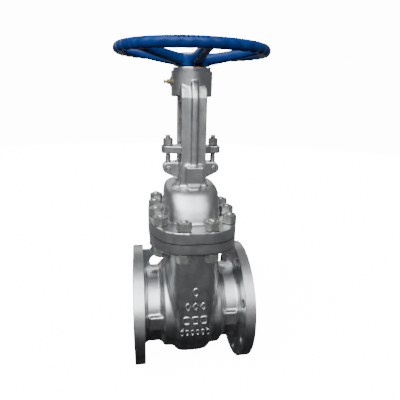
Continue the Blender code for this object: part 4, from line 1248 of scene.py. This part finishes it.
def softbox(name, place, target, width, height, radiance):
    """A rectangular lamp, in metres, that faces its target and glows evenly, unseen by the camera."""
    lamp = bpy.data.lights.new(name, "AREA")
    lamp.shape = "RECTANGLE"
    lamp.size = width
    lamp.size_y = height
    lamp.energy = radiance * math.pi * width * height
    made = linked(name, lamp)
    made.visible_camera = False
    facing = (Vector(target) - Vector(place)).to_track_quat("-Z", "Y").to_matrix().to_4x4()
    made.matrix_world = Matrix.Translation(place) @ facing


BACKDROP = 14.0                 # how brightly the camera sees the backdrop and the floor
FLOOR_R = 4000.0
SKY_FRONT = 9.5                 # the brightness that the wide window of light in front adds
# That window's edges in degrees, each from where its light starts to change to where it stops: round the
# valve, where 0 is straight in front and the left is negative, and above the horizon
WINDOW_LEFT, WINDOW_RIGHT = (-104.0, -42.0), (-14.0, 48.0)
WINDOW_LOW, WINDOW_HIGH = (8.0, 27.0), (50.0, 88.0)
# The studio's brightness by height, each stop the sine of the angle above the horizon and a grey
SKY_STOPS = ((-0.80, 0.01), (-0.62, 0.016), (-0.52, 0.028), (-0.455, 0.04), (-0.39, 0.19), (-0.28, 0.27),
             (-0.14, 0.205), (0.25, 0.20), (0.70, 0.32), (1.0, 0.34))


def studio():
    """Soft light that fades from above to below, brightest in a wide window in front of the valve."""
    softbox("lamp_front", (-0.5, -2.3, 1.35), (0, 0, 0.4), 1.6, 0.9, 2.0)
    softbox("lamp_back", (-0.4, 2.6, 1.3), (0, 0, 0.3), 3.0, 1.6, 0.8)
    world = bpy.data.worlds.new("studio")
    bpy.context.scene.world = world
    world.use_nodes = True
    nodes = world.node_tree.nodes

    def maths(operation, *values):
        node = nodes.new("ShaderNodeMath")
        node.operation = operation
        return feed(node, dict(enumerate(values))).outputs["Value"]

    def step(value, start, end):
        node = nodes.new("ShaderNodeMapRange")
        node.interpolation_type = "SMOOTHSTEP"
        inputs = {"From Min": math.radians(start), "From Max": math.radians(end), "Value": value}
        return feed(node, inputs).outputs["Result"]

    direction = nodes.new("ShaderNodeTexCoord").outputs["Generated"]
    apart = feed(nodes.new("ShaderNodeSeparateXYZ"), {"Vector": direction})
    height = maths("MULTIPLY_ADD", apart.outputs["Z"], 0.5, 0.5)
    ramp = feed(nodes.new("ShaderNodeValToRGB"), {"Fac": height})
    set_stops(ramp, [(0.5 + 0.5 * sine, (grey, grey, grey)) for sine, grey in SKY_STOPS])
    around = maths("ARCTAN2", apart.outputs["X"], maths("MULTIPLY", apart.outputs["Y"], -1.0))
    above = maths("ARCSINE", apart.outputs["Z"])
    across_window = maths("SUBTRACT", step(around, *WINDOW_LEFT), step(around, *WINDOW_RIGHT))
    up_window = maths("SUBTRACT", step(above, *WINDOW_LOW), step(above, *WINDOW_HIGH))
    window = maths("MULTIPLY", across_window, up_window)
    strength = maths("MULTIPLY_ADD", window, SKY_FRONT, ramp.outputs["Color"])
    background = feed(nodes["Background"], {"Color": (0.95, 0.98, 1.0, 1.0), "Strength": strength})
    white = {"Color": (1.0, 1.0, 1.0, 1.0), "Strength": BACKDROP}
    seen = feed(nodes.new("ShaderNodeBackground"), white)
    camera_ray = nodes.new("ShaderNodeLightPath").outputs["Is Camera Ray"]
    mixed = feed(nodes.new("ShaderNodeMixShader"), {"Fac": camera_ray, 1: background.outputs["Background"],
                                                    2: seen.outputs["Background"]})
    feed(nodes["World Output"], {"Surface": mixed.outputs["Shader"]})
    pale_floor()


def pale_floor():
    floor = prism(superellipse(FLOOR_R, FLOOR_R, 2.0), -FLANGE_R - 10.0, -FLANGE_R - 0.05)
    floor.name = "floor"
    look = Look("pale_floor", 0.9, 0.0)
    look.shader.inputs["Emission Color"].default_value = (1.0, 1.0, 1.0, 1.0)
    look.shader.inputs["Emission Strength"].default_value = BACKDROP
    tone = look.ramp(look.noise(3.0), [(0.3, (0.85, 0.85, 0.85)), (0.7, (0.88, 0.88, 0.88))])
    floor.data.materials.append(look.done(tone))
    floor.visible_diffuse = False
    floor.visible_glossy = False


def main():
    camera()
    studio()
    body_casting()
    bonnet_casting()
    bonnet_bolting()
    seat_rings()
    wedge_gate()
    stem_screw()
    gland()
    eyebolts()
    sleeve()
    retainer()
    grease_nipple()
    handwheel()
    carried_over()


main()
